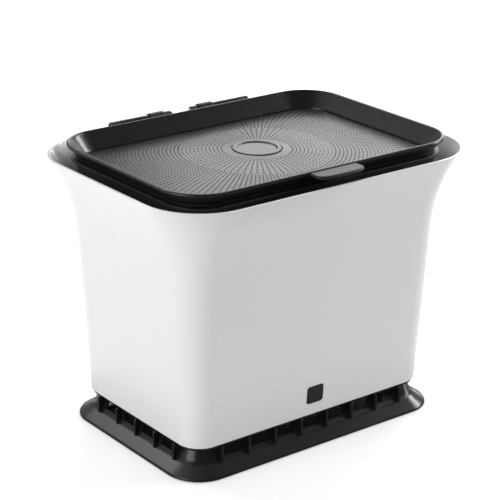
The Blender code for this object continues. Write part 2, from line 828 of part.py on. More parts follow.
def build_ring(material):
    """The bag ring: a flange on the collar's seat, a drop wall, a lip, a lifting tab and knuckles."""
    edge = mouth_inset() + RING_PLAY
    wall = mouth_inset() + RING_SEAT_WIDTH + BAG_SPACE
    inside = wall + RING_THICKNESS
    bottom = ring_seat_height() + GAP
    top = bottom + RING_THICKNESS
    foot = bottom - RING_DROP
    profile = [
        (edge, bottom),
        (edge, top),
        (wall, top),
        (wall, top + RING_LIP - RING_EDGE),
        (wall + RING_EDGE, top + RING_LIP),
        (inside - RING_EDGE, top + RING_LIP),
        (inside, top + RING_LIP - RING_EDGE),
        (inside, foot),
        (wall, foot),
        (wall, bottom),
    ]
    ring = solid("bag_ring", frame(profile), material)

    tab_low, tab_high = top - RING_THICKNESS / 2, top + RING_TAB_RISE
    middle, half = (tab_low + tab_high) / 2, (tab_high - tab_low) / 2
    tab_y = RIM_HALF_DEPTH - wall - (RING_THICKNESS - RING_TAB_THICKNESS) / 2
    tab = [(x, -tab_y, middle + z) for x, z in rounded_rectangle(RING_TAB_HALF_WIDTH, half, RING_TAB_CORNER)]
    combine(ring, "ring_tab", prism(tab, (0, RING_TAB_THICKNESS, 0)), "UNION")

    root = (RIM_HALF_DEPTH - edge - RING_ARM_ROOT, bottom + RING_ARM / 2)
    add_knuckles(ring, (knuckles()[1],), root, RING_ARM_SHARES, RING_ARM, RING_BARREL_RADIUS)
    return ring


def lid_profile():
    """The lid's section: bottom of the ledge, outer wall, neck, rolled rim and sloping inner wall."""
    pan = pan_inset()
    rest = collar_height() + LID_REST_GAP
    neck_top = rest + NECK_LID_RISE
    centre = (LID_RIM_INSET + ROLL_RADIUS, lid_height() - ROLL_RADIUS)
    roll = arc(centre, ROLL_RADIUS, 270.0, 0.0, ROLL_STEPS + 1)
    ledge = pan + LID_WALL
    bend = (ledge - LID_BEND_INSET, ledge_top() + LID_BEND_HEIGHT)
    profile = [
        (pan, ledge_top() - LID_LEDGE_THICKNESS),
        (pan, rest),
        (NECK_LID_INSET, rest),
        (NECK_LID_INSET, neck_top),
        (LID_SHOULDER_INSET, centre[1] - ROLL_RADIUS),
    ]
    return profile + roll + [bend, (ledge, ledge_top()), (ledge + LID_LEDGE_WIDTH, ledge_top()),
                             (ledge + LID_LEDGE_WIDTH, ledge_top() - LID_LEDGE_THICKNESS)]


def tab_outline(shrink):
    """The grip tab's outline moved in by a shrink: straight sides, and half a superellipse in front."""
    front = LID_RIM_INSET - RIM_HALF_DEPTH
    half_width, reach = TAB_HALF_WIDTH - shrink, TAB_REACH - TAB_SIDE - shrink
    edge = []
    for step in range(TAB_STEPS + 1):
        turn = math.pi * step / TAB_STEPS
        across = math.copysign(abs(math.cos(turn)) ** (2 / TAB_POWER), math.cos(turn))
        edge.append((half_width * across, front - TAB_SIDE - reach * math.sin(turn) ** (2 / TAB_POWER)))
    return edge + [(-half_width, front + TAB_ROOT), (half_width, front + TAB_ROOT)]


def build_lid(material):
    """The lid's tray, its grip tab at the front and its knuckles at the back."""
    lid = solid("lid_tray", frame(lid_profile()), material)

    top = lid_height() - TAB_DROP
    levels = (
        (TAB_EDGE, top - TAB_THICKNESS),
        (0.0, top - TAB_THICKNESS + TAB_EDGE),
        (0.0, top - TAB_EDGE),
        (TAB_EDGE, top),
    )
    rings = [[(x, y, height) for x, y in tab_outline(shrink)] for shrink, height in levels]
    combine(lid, "grip_tab", lofted(rings), "UNION")

    root = (RIM_HALF_DEPTH - NECK_LID_INSET + LID_ARM_ROOT, hinge_height() - LID_ARM_DROP)
    add_knuckles(lid, (knuckles()[2],), root, LID_ARM_SHARES, LID_ARM)
    return lid


def panel_height(share):
    """Height of the panel's top where its outline is scaled by a share: a shallow crown."""
    return panel_edge_height() + PANEL_CROWN * (1 - share**2)


def on_panel(x, y):
    """Whether a place lies inside the panel's edge by the vents' margin."""
    inset = panel_inset() + VENT_MARGIN
    radius = max(RIM_CORNER - inset, LEAST_CORNER)
    over_x = abs(x) - (RIM_HALF_LENGTH - inset - radius)
    over_y = abs(y) - (RIM_HALF_DEPTH - inset - radius)
    return max(over_x, over_y) < radius and math.hypot(max(over_x, 0.0), max(over_y, 0.0)) < radius


def vent_slots():
    """Radial slots in rings about the middle; their rows double past a radius, as the holes' rows do."""
    low = panel_edge_height() - PANEL_THICKNESS - CUT_OVERRUN
    rise = PANEL_CROWN + PANEL_THICKNESS + 2 * CUT_OVERRUN
    shapes = []
    start = VENT_START
    while start < RIM_HALF_LENGTH:
        rows = VENT_ROWS if start < VENT_DOUBLING_RADIUS else 2 * VENT_ROWS
        end = start + VENT_LENGTH
        for row in range(rows):
            turn = math.tau * (row + 0.5) / rows
            along = Vector((math.cos(turn), math.sin(turn), 0))
            across = Vector((-along.y, along.x, 0)) * VENT_WIDTH / 2
            near, far = along * start, along * end
            corners = [near - across, far - across, far + across, near + across]
            if all(on_panel(corner.x, corner.y) for corner in corners):
                shapes.append(prism([(corner.x, corner.y, low) for corner in corners], (0, 0, rise)))
        start = end + VENT_BRIDGE
    return gathered(shapes)


def build_panel(material):
    """The lid's vented panel: crowned, slotted, with a dished medallion above and hooks below."""
    edge = panel_inset()
    top = [outline(edge, panel_height(share), share) for share in PANEL_RING_SHARES]
    under = [outline(edge, panel_height(share) - PANEL_THICKNESS, share) for share in PANEL_RING_SHARES]
    panel = solid("vent_panel", lofted(under[::-1] + top), material)
    combine(panel, "vents", vent_slots(), "DIFFERENCE")

    crown = panel_height(PANEL_RING_SHARES[-1])
    rise = crown + MEDALLION_RISE
    medallion = [
        level_circle(0, 0, MEDALLION_RADIUS, crown - PANEL_THICKNESS / 2, DISC_SIDES),
        level_circle(0, 0, MEDALLION_RADIUS, crown, DISC_SIDES),
        level_circle(0, 0, MEDALLION_RADIUS - MEDALLION_RISE, rise, DISC_SIDES),
        level_circle(0, 0, MEDALLION_DISH_RADIUS + MEDALLION_DISH, rise, DISC_SIDES),
        level_circle(0, 0, MEDALLION_DISH_RADIUS, rise - MEDALLION_DISH, DISC_SIDES),
    ]
    combine(panel, "medallion", lofted(medallion), "UNION")

    ledge_edge = pan_inset() + LID_WALL + LID_LEDGE_WIDTH
    leg = ledge_edge + GAP
    nose_top = ledge_top() - LID_LEDGE_THICKNESS - GAP
    section = [
        (leg, panel_edge_height() - PANEL_THICKNESS / 2),
        (leg, nose_top),
        (ledge_edge - HOOK_NOSE, nose_top),
        (leg, nose_top - HOOK_NOSE_DEPTH),
        (leg + HOOK_THICKNESS, nose_top - HOOK_NOSE_DEPTH),
        (leg + HOOK_THICKNESS, panel_edge_height() - PANEL_THICKNESS / 2),
    ]
    hooks = round_the_sides((-HOOK_SPACING, HOOK_SPACING), (), section, HOOK_WIDTH)
    combine(panel, "panel_hooks", hooks, "UNION")
    return panel


def build_pins(material):
    """Two hinge pins, each headed at the end nearer the middle."""
    end = knuckles()[-1][1] - PIN_END_WALL - GAP
    made = []
    for name, side in (("hinge_pin_left", -1), ("hinge_pin_right", 1)):
        spans = (
            (HINGE_START - GAP - PIN_HEAD, PIN_HEAD_RADIUS),
            (HINGE_START - GAP, PIN_HEAD_RADIUS),
            (HINGE_START - GAP, PIN_RADIUS),
            (end, PIN_RADIUS),
        )
        rings = [hinge_circle(side * x, radius, PIN_SIDES) for x, radius in spans]
        made.append(solid(name, lofted(rings), material))
    return made


def hang_on_hinge(name, pieces, parent):
    """An empty on the hinge axis, which carries pieces that turn together."""
    axis = bpy.data.objects.new(name, None)
    axis.location = (0, hinge_y(), hinge_height())
    bpy.context.collection.objects.link(axis)
    bpy.context.view_layer.update()
    if parent:
        axis.parent = parent
        axis.matrix_parent_inverse = parent.matrix_world.inverted()
    for piece in pieces:
        piece.parent = axis
        piece.matrix_parent_inverse = axis.matrix_world.inverted()
    return axis


def main():
    """Build every piece of the bin."""
    clear_scene()
    white = finish("white_gloss", (0.86, 0.86, 0.87), 0.22)
    black = finish("black_satin", (0.022, 0.022, 0.024), 0.42)
    dark = finish("panel_satin", (0.035, 0.035, 0.037), 0.38)
    rubber = finish("pad_rubber", (0.03, 0.03, 0.03), 0.85)
    steel = finish("bright_steel", (0.62, 0.62, 0.63), 0.28, 1.0)

    build_body(white)
    build_badge(black)
    build_base(black)
    build_grate(black)
    build_screws(steel)
    build_pads(rubber)
    build_collar(black)
    build_pins(steel)
    ring = build_ring(black)
    lid = build_lid(black)
    panel = build_panel(dark)
    ring_axis = hang_on_hinge("ring_axis", [ring], None)
    hang_on_hinge("lid_axis", [lid, panel], ring_axis)


main()
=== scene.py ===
"""Looks of a kitchen compost bin: a glossy white bucket on a ribbed black base, a frame with a bag
ring in its mouth, and a hinged black lid with a finely perforated panel.

Metres, +Z up, the front towards -Y. Every level outline of the bin is the bucket's rim outline
moved in by an inset, so a section is a table of corners: an inset, a height and a radius.
"""

import logging
import math
from dataclasses import dataclass, replace
from enum import Enum
from typing import Iterable, Sequence

import bmesh
import bpy
import numpy as np
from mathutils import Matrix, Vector
from mathutils.geometry import delaunay_2d_cdt


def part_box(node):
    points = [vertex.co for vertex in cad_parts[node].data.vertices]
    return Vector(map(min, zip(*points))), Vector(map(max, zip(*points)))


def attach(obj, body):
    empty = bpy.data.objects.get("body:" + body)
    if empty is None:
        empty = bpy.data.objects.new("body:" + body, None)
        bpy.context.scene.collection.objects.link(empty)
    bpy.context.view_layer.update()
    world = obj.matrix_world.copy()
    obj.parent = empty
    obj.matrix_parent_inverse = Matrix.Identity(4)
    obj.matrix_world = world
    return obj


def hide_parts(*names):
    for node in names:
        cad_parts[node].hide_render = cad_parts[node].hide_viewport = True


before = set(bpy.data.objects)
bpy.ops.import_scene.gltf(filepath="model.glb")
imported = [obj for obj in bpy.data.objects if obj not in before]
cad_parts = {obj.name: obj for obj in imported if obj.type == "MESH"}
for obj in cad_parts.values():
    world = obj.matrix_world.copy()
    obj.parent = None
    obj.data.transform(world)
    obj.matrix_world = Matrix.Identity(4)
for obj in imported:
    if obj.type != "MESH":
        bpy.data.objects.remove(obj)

log = logging.getLogger("compost_bin")

Colour = tuple[float, float, float]
Corner = tuple[float, float, float]
Place = tuple[float, float, float]
Span = tuple[float, float]

SIDES = (-1, 1)
BLACK, WHITE = (0.0, 0.0, 0.0), (1.0, 1.0, 1.0)

# Metres: the gap round a piece that is let into another, how far a cutter reaches past what it
# cuts, and the distances under which two points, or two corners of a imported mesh, are one
GAP = 0.0003
PAST = 0.001
SAME_PLACE = 1e-8
SAME_CORNER = 1e-6

# Limits of rounding: how near to straight half a corner's angle is where it stays plain, the most
# of an edge that a corner takes, and the least divisor of a mitre
ALMOST_STRAIGHT = 0.01
MOST_OF_AN_EDGE = 0.49
SHARPEST_MITRE = 0.3

# Degrees: edges sharper than the first stay crisp in the shading, flatter than the second are
# dissolved, and sharper than the third are softened
CRISP_ANGLE = 32.0
FLAT_ANGLE = 1.0
SOFTENED_ANGLE = 40.0


class Body(Enum):
    """The bodies of the model that pieces ride on."""

    BIN = "bin"
    RING = "ring"
    LID = "lid"


class Slot(Enum):
    """The record's material slots."""

    WHITE = "white_body"
    BLACK = "black_trim"
    PANEL = "vent_black"
    RUBBER = "pad_rubber"
    STEEL = "bright_steel"


class Push(Enum):
    """How a flat outline is pushed: its own two directions, and the one it is pushed along."""

    ALONG_X = ((0, 1, 0), (0, 0, 1), (1, 0, 0))
    ALONG_Y = ((1, 0, 0), (0, 0, 1), (0, 1, 0))
    UP = ((1, 0, 0), (0, 1, 0), (0, 0, 1))


# Shader maths and finishes


@dataclass(frozen=True)
class Socket:
    """An output of a shader node; arithmetic on it adds Math nodes."""

    tree: "Tree"
    output: bpy.types.NodeSocket

    def math(self, operation: str, *values: "Socket | float", clamp: bool = False) -> "Socket":
        """The result of a Math node on values in order, kept between 0 and 1 if clamped."""
        settings = {"operation": operation, "use_clamp": clamp}
        return self.tree.add("ShaderNodeMath", settings, dict(enumerate(values)))

    def __add__(self, other: "Socket | float") -> "Socket":
        """Sum."""
        return self.math("ADD", self, other)

    __radd__ = __add__

    def __sub__(self, other: "Socket | float") -> "Socket":
        """Difference."""
        return self.math("SUBTRACT", self, other)

    def __rsub__(self, other: "Socket | float") -> "Socket":
        """Difference from a number."""
        return self.math("SUBTRACT", other, self)

    def __mul__(self, other: "Socket | float") -> "Socket":
        """Product."""
        return self.math("MULTIPLY", self, other)

    __rmul__ = __mul__

    def __abs__(self) -> "Socket":
        """Size without the sign."""
        return self.math("ABSOLUTE", self)

    def clamped(self) -> "Socket":
        """The same, kept between 0 and 1."""
        return self.math("ADD", self, 0.0, clamp=True)

    def above(self, low: float, high: float) -> "Socket":
        """How far the value has come from low to high, from 0 to 1."""
        return ((self - low) * (1 / (high - low))).clamped()


class Tree:
    """The nodes of one material or world."""

    def __init__(self, owner: bpy.types.Material | bpy.types.World) -> None:
        """Empty the owner's nodes.

        Args:
            owner: the material or world whose nodes are made.
        """
        owner.use_nodes = True
        self.nodes = owner.node_tree.nodes
        self.links = owner.node_tree.links
        self.nodes.clear()

    def add(
        self,
        kind: str,
        settings: dict | None = None,
        inputs: dict | None = None,
        output: int | str = 0,
    ) -> Socket:
        """Add a node.

        Args:
            kind: the node's type.
            settings: its properties, set before its sockets.
            inputs: a value or a link for each socket that isn't left as it is.
            output: which output is returned.

        Returns:
            That output; a last node has none.
        """
        node = self.nodes.new(kind)
        for name, value in (settings or {}).items():
            setattr(node, name, value)
        for name, value in (inputs or {}).items():
            if isinstance(value, Socket):
                self.links.new(value.output, node.inputs[name])
            else:
                node.inputs[name].default_value = value
        return Socket(self, node.outputs[output] if len(node.outputs) else None)

    def place(self, output: str = "Object") -> Socket:
        """Object coordinates, or another output of the same node."""
        return self.add("ShaderNodeTexCoord", output=output)

    def part(self, vector: Socket, axis: int) -> Socket:
        """One part of a vector."""
        return self.add("ShaderNodeSeparateXYZ", None, {0: vector}, axis)

    def along(self, vector: Socket, way: Place) -> Socket:
        """How far a vector goes a given way."""
        settings = {"operation": "DOT_PRODUCT"}
        return self.add("ShaderNodeVectorMath", settings, {0: vector, 1: way}, 1)

    def noise(
        self, scale: float, detail: float = 3.0, stretch: Place = (1.0, 1.0, 1.0)
    ) -> Socket:
        """Noise on object coordinates.

        Args:
            scale: patches to the metre, about.
            detail: octaves.
            stretch: scale along each axis.

        Returns:
            Noise from 0 to 1 about a half.
        """
        where = self.add("ShaderNodeMapping", None, {"Vector": self.place(), "Scale": stretch})
        inputs = {"Vector": where, "Scale": scale, "Detail": detail}
        return self.add("ShaderNodeTexNoise", None, inputs)

    def blend(self, share: Socket, low: Socket | Colour, high: Colour) -> Socket:
        """Mix two colours.

        Args:
            share: how much of the second.
            low: the first colour, plain or mixed before.
            high: the second colour.

        Returns:
            The mixed colour.
        """
        first = low if isinstance(low, Socket) else (*low, 1)
        inputs = {0: share, 6: first, 7: (*high, 1)}
        return self.add("ShaderNodeMix", {"data_type": "RGBA"}, inputs, 2)

    def bump(self, height: Socket, depth: float, strength: float = 1.0) -> Socket:
        """A normal bent by a height, of which 1 stands for a depth in metres."""
        inputs = {"Height": height, "Distance": depth, "Strength": strength}
        return self.add("ShaderNodeBump", None, inputs)

    def shader(self, **inputs: "Socket | float | Colour") -> None:
        """Finish a material with its main shader.

        Args:
            inputs: the shader's sockets, with underscores for spaces.
        """
        named = {name.replace("_", " "): value for name, value in inputs.items()}
        surface = self.add("ShaderNodeBsdfPrincipled", None, named)
        self.add("ShaderNodeOutputMaterial", None, {"Surface": surface})


def scaled(colour: Colour, share: float) -> Colour:
    """A colour made darker or lighter by a share."""
    return tuple(min(1.0, part * share) for part in colour)


@dataclass(frozen=True)
class Finish:
    """What every finish has: a name, the record's slot that it belongs to, colour and roughness."""

    name: str
    slot: Slot
    colour: Colour
    roughness: float

    def dress(self, tree: Tree) -> None:
        """Add the finish's own nodes to a material."""
        raise NotImplementedError

    def material(self) -> bpy.types.Material:
        """The finish's material, made once."""
        made = bpy.data.materials.get(self.name)
        if made is None:
            made = bpy.data.materials.new(self.name)
            self.dress(Tree(made))
        return made

    def tones(self, share: Socket, dark: float, light: float) -> Socket:
        """The colour, drifting by a share from a darker to a lighter tone of it."""
        return share.tree.blend(share, scaled(self.colour, dark), scaled(self.colour, light))


@dataclass(frozen=True)
class MouldedPlastic(Finish):
    """Moulded plastic: soft clouds in the colour, a fine grain, faint smears and dust on top."""

    specular: float = 0.5
    coat: float = 0.0
    coat_roughness: float = 0.06
    clouds: float = 0.04
    cloud_scale: float = 14.0
    smears: float = 0.06
    smear_scale: float = 34.0
    smear_stretch: Place = (1.0, 1.0, 0.45)
    smear_relief: float = 0.6
    grain: float = 900.0
    grain_depth: float = 0.00002
    grain_strength: float = 0.6
    dust: float = 0.0
    dust_scale: float = 260.0
    dust_threshold: Span = (0.45, 0.75)
    dust_slope: Span = (0.5, 1.0)
    dust_colour: Colour = (0.42, 0.41, 0.39)
    dust_dulling: float = 0.5

    def dress(self, tree: Tree) -> None:
        """Add the plastic's nodes.

        The colour drifts between a darker and a lighter tone, smears change the roughness, a fine
        noise bends the normal, and dust lightens and dulls what faces up.

        Args:
            tree: the material's nodes.
        """
        drift = tree.noise(self.cloud_scale, detail=2.0)
        tone = self.tones(drift, 1 - self.clouds, 1 + self.clouds)
        facing_up = tree.part(tree.place("Normal"), 2).above(*self.dust_slope)
        specks = tree.noise(self.dust_scale, detail=4.0).above(*self.dust_threshold)
        settled = facing_up * specks * self.dust
        smear = tree.noise(self.smear_scale, detail=5.0, stretch=self.smear_stretch)
        rough = (smear - 0.5) * self.smears + settled * self.dust_dulling + self.roughness
        skin = tree.noise(self.grain, detail=2.0) + smear * self.smear_relief
        tree.shader(
            Base_Color=tree.blend(settled, tone, self.dust_colour),
            Roughness=rough.clamped(),
            Specular_IOR_Level=self.specular,
            Coat_Weight=self.coat,
            Coat_Roughness=self.coat_roughness,
            Normal=tree.bump(skin, self.grain_depth, self.grain_strength),
        )


@dataclass(frozen=True)
class SoftRubber(Finish):
    """Dull rubber with a pebbled skin."""

    pebbles: float = 1500.0
    pebble_depth: float = 0.00005
    patches: float = 120.0
    patch_dulling: float = 0.15

    def dress(self, tree: Tree) -> None:
        """Add the rubber's nodes: a cellular skin bends the normal, and its hollows are darker.

        Args:
            tree: the material's nodes.
        """
        inputs = {"Vector": tree.place(), "Scale": self.pebbles}
        cells = tree.add("ShaderNodeTexVoronoi", None, inputs)
        patches = (tree.noise(self.patches) - 0.5) * self.patch_dulling
        tree.shader(
            Base_Color=self.tones(cells.clamped(), dark=0.7, light=1.4),
            Roughness=(patches + self.roughness).clamped(),
            Normal=tree.bump(cells, self.pebble_depth),
        )


@dataclass(frozen=True)
class DrawnSteel(Finish):
    """Steel drawn along X: long fine lines in its tone, its roughness and its skin."""

    lines: float = 600.0
    line_stretch: Place = (0.04, 1.0, 1.0)
    line_depth: float = 0.00001
    line_dulling: float = 0.2

    def dress(self, tree: Tree) -> None:
        """Add the steel's nodes.

        Args:
            tree: the material's nodes.
        """
        lines = tree.noise(self.lines, detail=4.0, stretch=self.line_stretch)
        tree.shader(
            Base_Color=self.tones(lines, dark=0.8, light=1.2),
            Metallic=1.0,
            Roughness=((lines - 0.5) * self.line_dulling + self.roughness).clamped(),
            Normal=tree.bump(lines, self.line_depth),
        )


WHITE_GLOSS = MouldedPlastic(
    "white_gloss", Slot.WHITE, (0.855, 0.86, 0.865), 0.3,
    coat=0.6, coat_roughness=0.05, clouds=0.008, grain=240.0, grain_depth=0.00001,
)
BLACK_SATIN = MouldedPlastic(
    "black_satin", Slot.BLACK, (0.01, 0.01, 0.011), 0.26, clouds=0.12, dust=0.01
)
PANEL_SATIN = MouldedPlastic(
    "panel_satin", Slot.PANEL, (0.03, 0.03, 0.032), 0.34, clouds=0.1, grain=1300.0, dust=0.02
)
FRAME_SATIN = MouldedPlastic(
    "frame_satin", Slot.BLACK, (0.014, 0.014, 0.015), 0.38, clouds=0.12, dust=0.015
)
GRIP_SATIN = replace(FRAME_SATIN, name="grip_satin", roughness=0.46, specular=0.42)
PAD_RUBBER = SoftRubber("soft_pad_rubber", Slot.RUBBER, (0.03, 0.03, 0.03), 0.8)
BRIGHT_STEEL = DrawnSteel("drawn_steel", Slot.STEEL, (0.62, 0.62, 0.63), 0.26)


# Surfaces


@dataclass(frozen=True)
class Surface:
    """Points, and faces as rows of their numbers."""

    points: np.ndarray
    faces: list[list[int]]

    def leaned(self, angle: float, about: Place) -> "Surface":
        """Turn the surface about a line along X.

        Args:
            angle: the turn, in radians.
            about: a point on the line.

        Returns:
            The turned surface.
        """
        cosine, sine = math.cos(angle), math.sin(angle)
        turn = np.array([[1, 0, 0], [0, cosine, -sine], [0, sine, cosine]])
        return Surface((self.points - about) @ turn.T + about, self.faces)


def gathered(surfaces: Sequence[Surface]) -> Surface:
    """Several surfaces as one."""
    faces, start = [], 0
    for surface in surfaces:
        faces += [[corner + start for corner in face] for face in surface.faces]
        start += len(surface.points)
    return Surface(np.vstack([surface.points for surface in surfaces]), faces)


def lattice(points: np.ndarray, loop_rows: bool, capped: bool = False) -> Surface:
    """Join a grid of points into four-cornered faces; its last column joins the first.

    Args:
        points: the points, by row and column.
        loop_rows: whether the last row joins the first.
        capped: whether the first and the last row are closed by a face.

    Returns:
        The surface.
    """
    rows, columns = points.shape[:2]
    number = np.arange(rows * columns).reshape(rows, columns)
    first, last = number[0].tolist(), number[-1].tolist()
    if loop_rows:
        number = np.vstack([number, number[:1]])
    here, there = number, np.roll(number, -1, axis=1)
    quads = np.stack([here[:-1], there[:-1], there[1:], here[1:]], axis=-1)
    faces = quads.reshape(-1, 4).tolist() + ([first, last] if capped else [])
    return Surface(points.reshape(-1, 3), faces)


def unrounded(curve: Iterable[Sequence[float]]) -> list[Corner]:
    """The rows of a curve as corners that stay plain."""
    return [(across, up, 0.0) for across, up in curve]


def filleted(corners: Sequence[Corner], steps: int = 3, closed: bool = True) -> np.ndarray:
    """Round the corners of a section.

    A corner is cut back along both its edges by its radius over the tangent of half its angle, and
    the arc between the cuts turns about the point on the bisector at that distance over the cosine.

    Args:
        corners: across, up and radius of each; a radius of nought stays plain.
        steps: facets of each arc.
        closed: whether the last corner joins the first; otherwise both ends stay plain.

    Returns:
        Rows of across and up.
    """
    rows = np.array(corners, dtype=float)
    here, radius = rows[:, :2], rows[:, 2]
    back, on = np.roll(here, 1, axis=0) - here, np.roll(here, -1, axis=0) - here
    back_length, on_length = np.linalg.norm(back, axis=1), np.linalg.norm(on, axis=1)
    back, on = back / back_length[:, None], on / on_length[:, None]
    half = np.arccos(np.clip((back * on).sum(axis=1), -1, 1)) / 2
    plain = (radius <= 0) | (half > math.pi / 2 - ALMOST_STRAIGHT)
    if not closed:
        plain[[0, -1]] = True
    half = np.where(plain, math.pi / 4, half)
    most = MOST_OF_AN_EDGE * np.minimum(back_length, on_length)
    cut = np.minimum(radius / np.tan(half), most)
    middle = back + on
    middle = middle / np.maximum(np.linalg.norm(middle, axis=1), SAME_PLACE)[:, None]
    centre = here + middle * (cut / np.cos(half))[:, None]
    first, last = here + back * cut[:, None] - centre, here + on * cut[:, None] - centre
    sweep = (math.pi - 2 * half)[:, None]
    share = np.linspace(0, 1, steps + 1)
    weights = np.stack([np.sin((1 - share) * sweep), np.sin(share * sweep)]) / np.sin(sweep)
    early, late = weights[..., None]
    arcs = centre[:, None] + early * first[:, None] + late * last[:, None]
    flat = np.where(plain[:, None, None], here[:, None], arcs).reshape(-1, 2)
    fresh = np.abs(np.diff(flat, axis=0)).max(axis=1) > SAME_PLACE
    return flat[np.concatenate([[True], fresh])]


def beside(path: np.ndarray, distance: float) -> np.ndarray:
    """A flat path moved square to itself, to its left, by a distance that its bends keep."""
    edges = np.diff(path, axis=0)
    edges = edges / np.linalg.norm(edges, axis=1)[:, None]
    left = np.stack([-edges[:, 1], edges[:, 0]], axis=1)
    before, after = np.vstack([left[:1], left]), np.vstack([left, left[-1:]])
    return path + distance * (before + after) / (1 + (before * after).sum(axis=1))[:, None]


def strip(path: np.ndarray, thickness: float) -> np.ndarray:
    """The outline of a strip of a thickness along a flat path."""
    return np.vstack([beside(path, thickness / 2), beside(path, -thickness / 2)[::-1]])


def circle(points: int, start: float = 0.0) -> np.ndarray:
    """Points at even turns round a unit circle, from a share of a step on."""
    turn = (np.arange(points) + start) / points * math.tau
    return np.stack([np.cos(turn), np.sin(turn)], axis=1)


def rounded_rectangle(half_width: float, half_height: float, radius: float) -> np.ndarray:
    """The outline of a flat rounded rectangle about nought."""
    signs = ((1, 1), (-1, 1), (-1, -1), (1, -1))
    corners = [(across * half_width, up * half_height, radius) for across, up in signs]
    return filleted(corners, steps=6)


def slab(
    outline: np.ndarray, low: float, high: float, edge: float, push: Push, steps: int = 2
) -> Surface:
    """Push a flat outline through a thickness, and round its edges.

    Near both ends the outline shrinks by the edge times one less the sine of a turn, where it is
    the edge times one less the turn's cosine from the end: a quarter round.

    Args:
        outline: rows of across and up.
        low: where the push starts.
        high: where it ends.
        edge: radius of the edges.
        push: the directions of the outline and of the push.
        steps: facets of each edge.

    Returns:
        The closed surface.
    """
    across, up = outline.T
    if np.sum(across * np.roll(up, -1) - np.roll(across, -1) * up) < 0:
        outline = outline[::-1]
    edges = np.roll(outline, -1, axis=0) - outline
    edges = edges / np.linalg.norm(edges, axis=1)[:, None]
    after = np.stack([-edges[:, 1], edges[:, 0]], axis=1)
    before = np.roll(after, 1, axis=0)
    mitre = np.maximum(1 + (before * after).sum(axis=1), SHARPEST_MITRE)
    inward = (before + after) / mitre[:, None]
    turn = np.linspace(0, math.pi / 2, steps + 1)
    shrink, away = edge * (1 - np.sin(turn)), edge * (1 - np.cos(turn))
    shrinks = np.concatenate([shrink, shrink[::-1]])
    levels = np.concatenate([low + away, high - away[::-1]])
    flat = outline + inward * shrinks[:, None, None]
    deep = np.broadcast_to(levels[:, None, None], flat.shape[:2] + (1,))
    points = np.concatenate([flat, deep], axis=2) @ np.array(push.value, float)
    return lattice(points, False, capped=True)


def turned(
    corners: Sequence[Corner],
    sides: int,
    centre: Place,
    axis: Push = Push.UP,
    steps: int = 4,
    ring: bool = False,
) -> Surface:
    """Turn a profile with rounded corners about an axis.

    Args:
        corners: radius, way along the axis and rounding of each corner.
        sides: facets round the axis.
        centre: a point on the axis, from which the way along is counted.
        axis: the axis, as the direction of a push.
        steps: facets of each rounded corner.
        ring: whether the profile closes on itself; otherwise both ends get a flat face.

    Returns:
        The closed surface.
    """
    profile = filleted(corners, steps, closed=ring)
    radius, along = profile[:, :1, None], profile[:, 1:, None]
    along = np.broadcast_to(along, (len(profile), sides, 1))
    points = np.concatenate([radius * circle(sides), along], axis=2) @ np.array(axis.value, float)
    return lattice(points + centre, ring, capped=not ring)


@dataclass(frozen=True)
class RimOutline:
    """The rim's outline, a rounded rectangle, which every level outline is moved in from."""

    half_length: float
    half_depth: float
    corner: float = 0.0520
    least_corner: float = 0.0040
    corner_steps: int = 20
    side_shares: tuple[float, ...] = (0.015, 0.1, 0.3, 0.5, 0.7, 0.9, 0.985)

    @classmethod
    def of_frame(cls) -> "RimOutline":
        """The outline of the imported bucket, which is its rim."""
        low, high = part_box("outer_shell")
        return cls((high.x - low.x) / 2, (high.y - low.y) / 2)

    def loops(self, section: np.ndarray) -> np.ndarray:
        """Carry a section round the outline.

        At an inset, the corners' radius is the rim's less the inset, so that their centres stay,
        down to the least radius. Points stand at even turns of each corner and at shares of each
        straight side.

        Args:
            section: rows of inset and height.

        Returns:
            Points by row of the section and by place round the outline.
        """
        inset, height = section[:, 0], section[:, 1]
        radius = np.maximum(self.corner - inset, self.least_corner)
        reach = np.array([self.half_length, self.half_depth]) - (inset + radius)[:, None]
        signs = np.array([(1, 1), (-1, 1), (-1, -1), (1, -1)], dtype=float)
        turn = np.arange(4)[:, None] + np.linspace(0, 1, self.corner_steps + 1)
        turn = turn * math.pi / 2
        spokes = np.stack([np.cos(turn), np.sin(turn)], axis=-1)
        arcs = (signs * reach[:, None])[:, :, None] + radius[:, None, None, None] * spokes
        start, end = arcs[:, :, -1:], np.roll(arcs, -1, axis=1)[:, :, :1]
        sides = start + (end - start) * np.array(self.side_shares)[:, None]
        flat = np.concatenate([arcs, sides], axis=2).reshape(len(section), -1, 2)
        up = np.broadcast_to(height[:, None, None], flat.shape[:2] + (1,))
        return np.concatenate([flat, up], axis=2)

    def swept(self, section: np.ndarray) -> Surface:
        """A closed section carried round the outline."""
        return lattice(self.loops(section), True)

    def level(self, inset: float) -> np.ndarray:
        """The flat outline at an inset."""
        return self.loops(np.array([(inset, 0.0)]))[0, :, :2]

    def round_the_sides(
        self, rows: Sequence[Sequence[float]], section: np.ndarray, thickness: float, edge: float
    ) -> Surface:
        """Push one upright section through places along all four sides.

        Args:
            rows: places along the front and back, and along the ends.
            section: rows of inset and height.
            thickness: how thick each is.
            edge: radius of their edges.

        Returns:
            All of them.
        """
        half, reaches = thickness / 2, (self.half_depth, self.half_length)
        made = []
        for side in SIDES:
            for places, reach, push in zip(rows, reaches, (Push.ALONG_X, Push.ALONG_Y)):
                face = section * (-side, 1) + (side * reach, 0)
                made += [slab(face, mid - half, mid + half, edge, push) for mid in places]
        return gathered(made)


# Pieces


def mesh_of(name: str, surface: Surface) -> bpy.types.Mesh:
    """A mesh of a closed surface, with its faces turned outwards."""
    mesh = bpy.data.meshes.new(name)
    mesh.from_pydata(surface.points.tolist(), [], surface.faces)
    work = bmesh.new()
    work.from_mesh(mesh)
    bmesh.ops.recalc_face_normals(work, faces=work.faces)
    work.to_mesh(mesh)
    work.free()
    return mesh


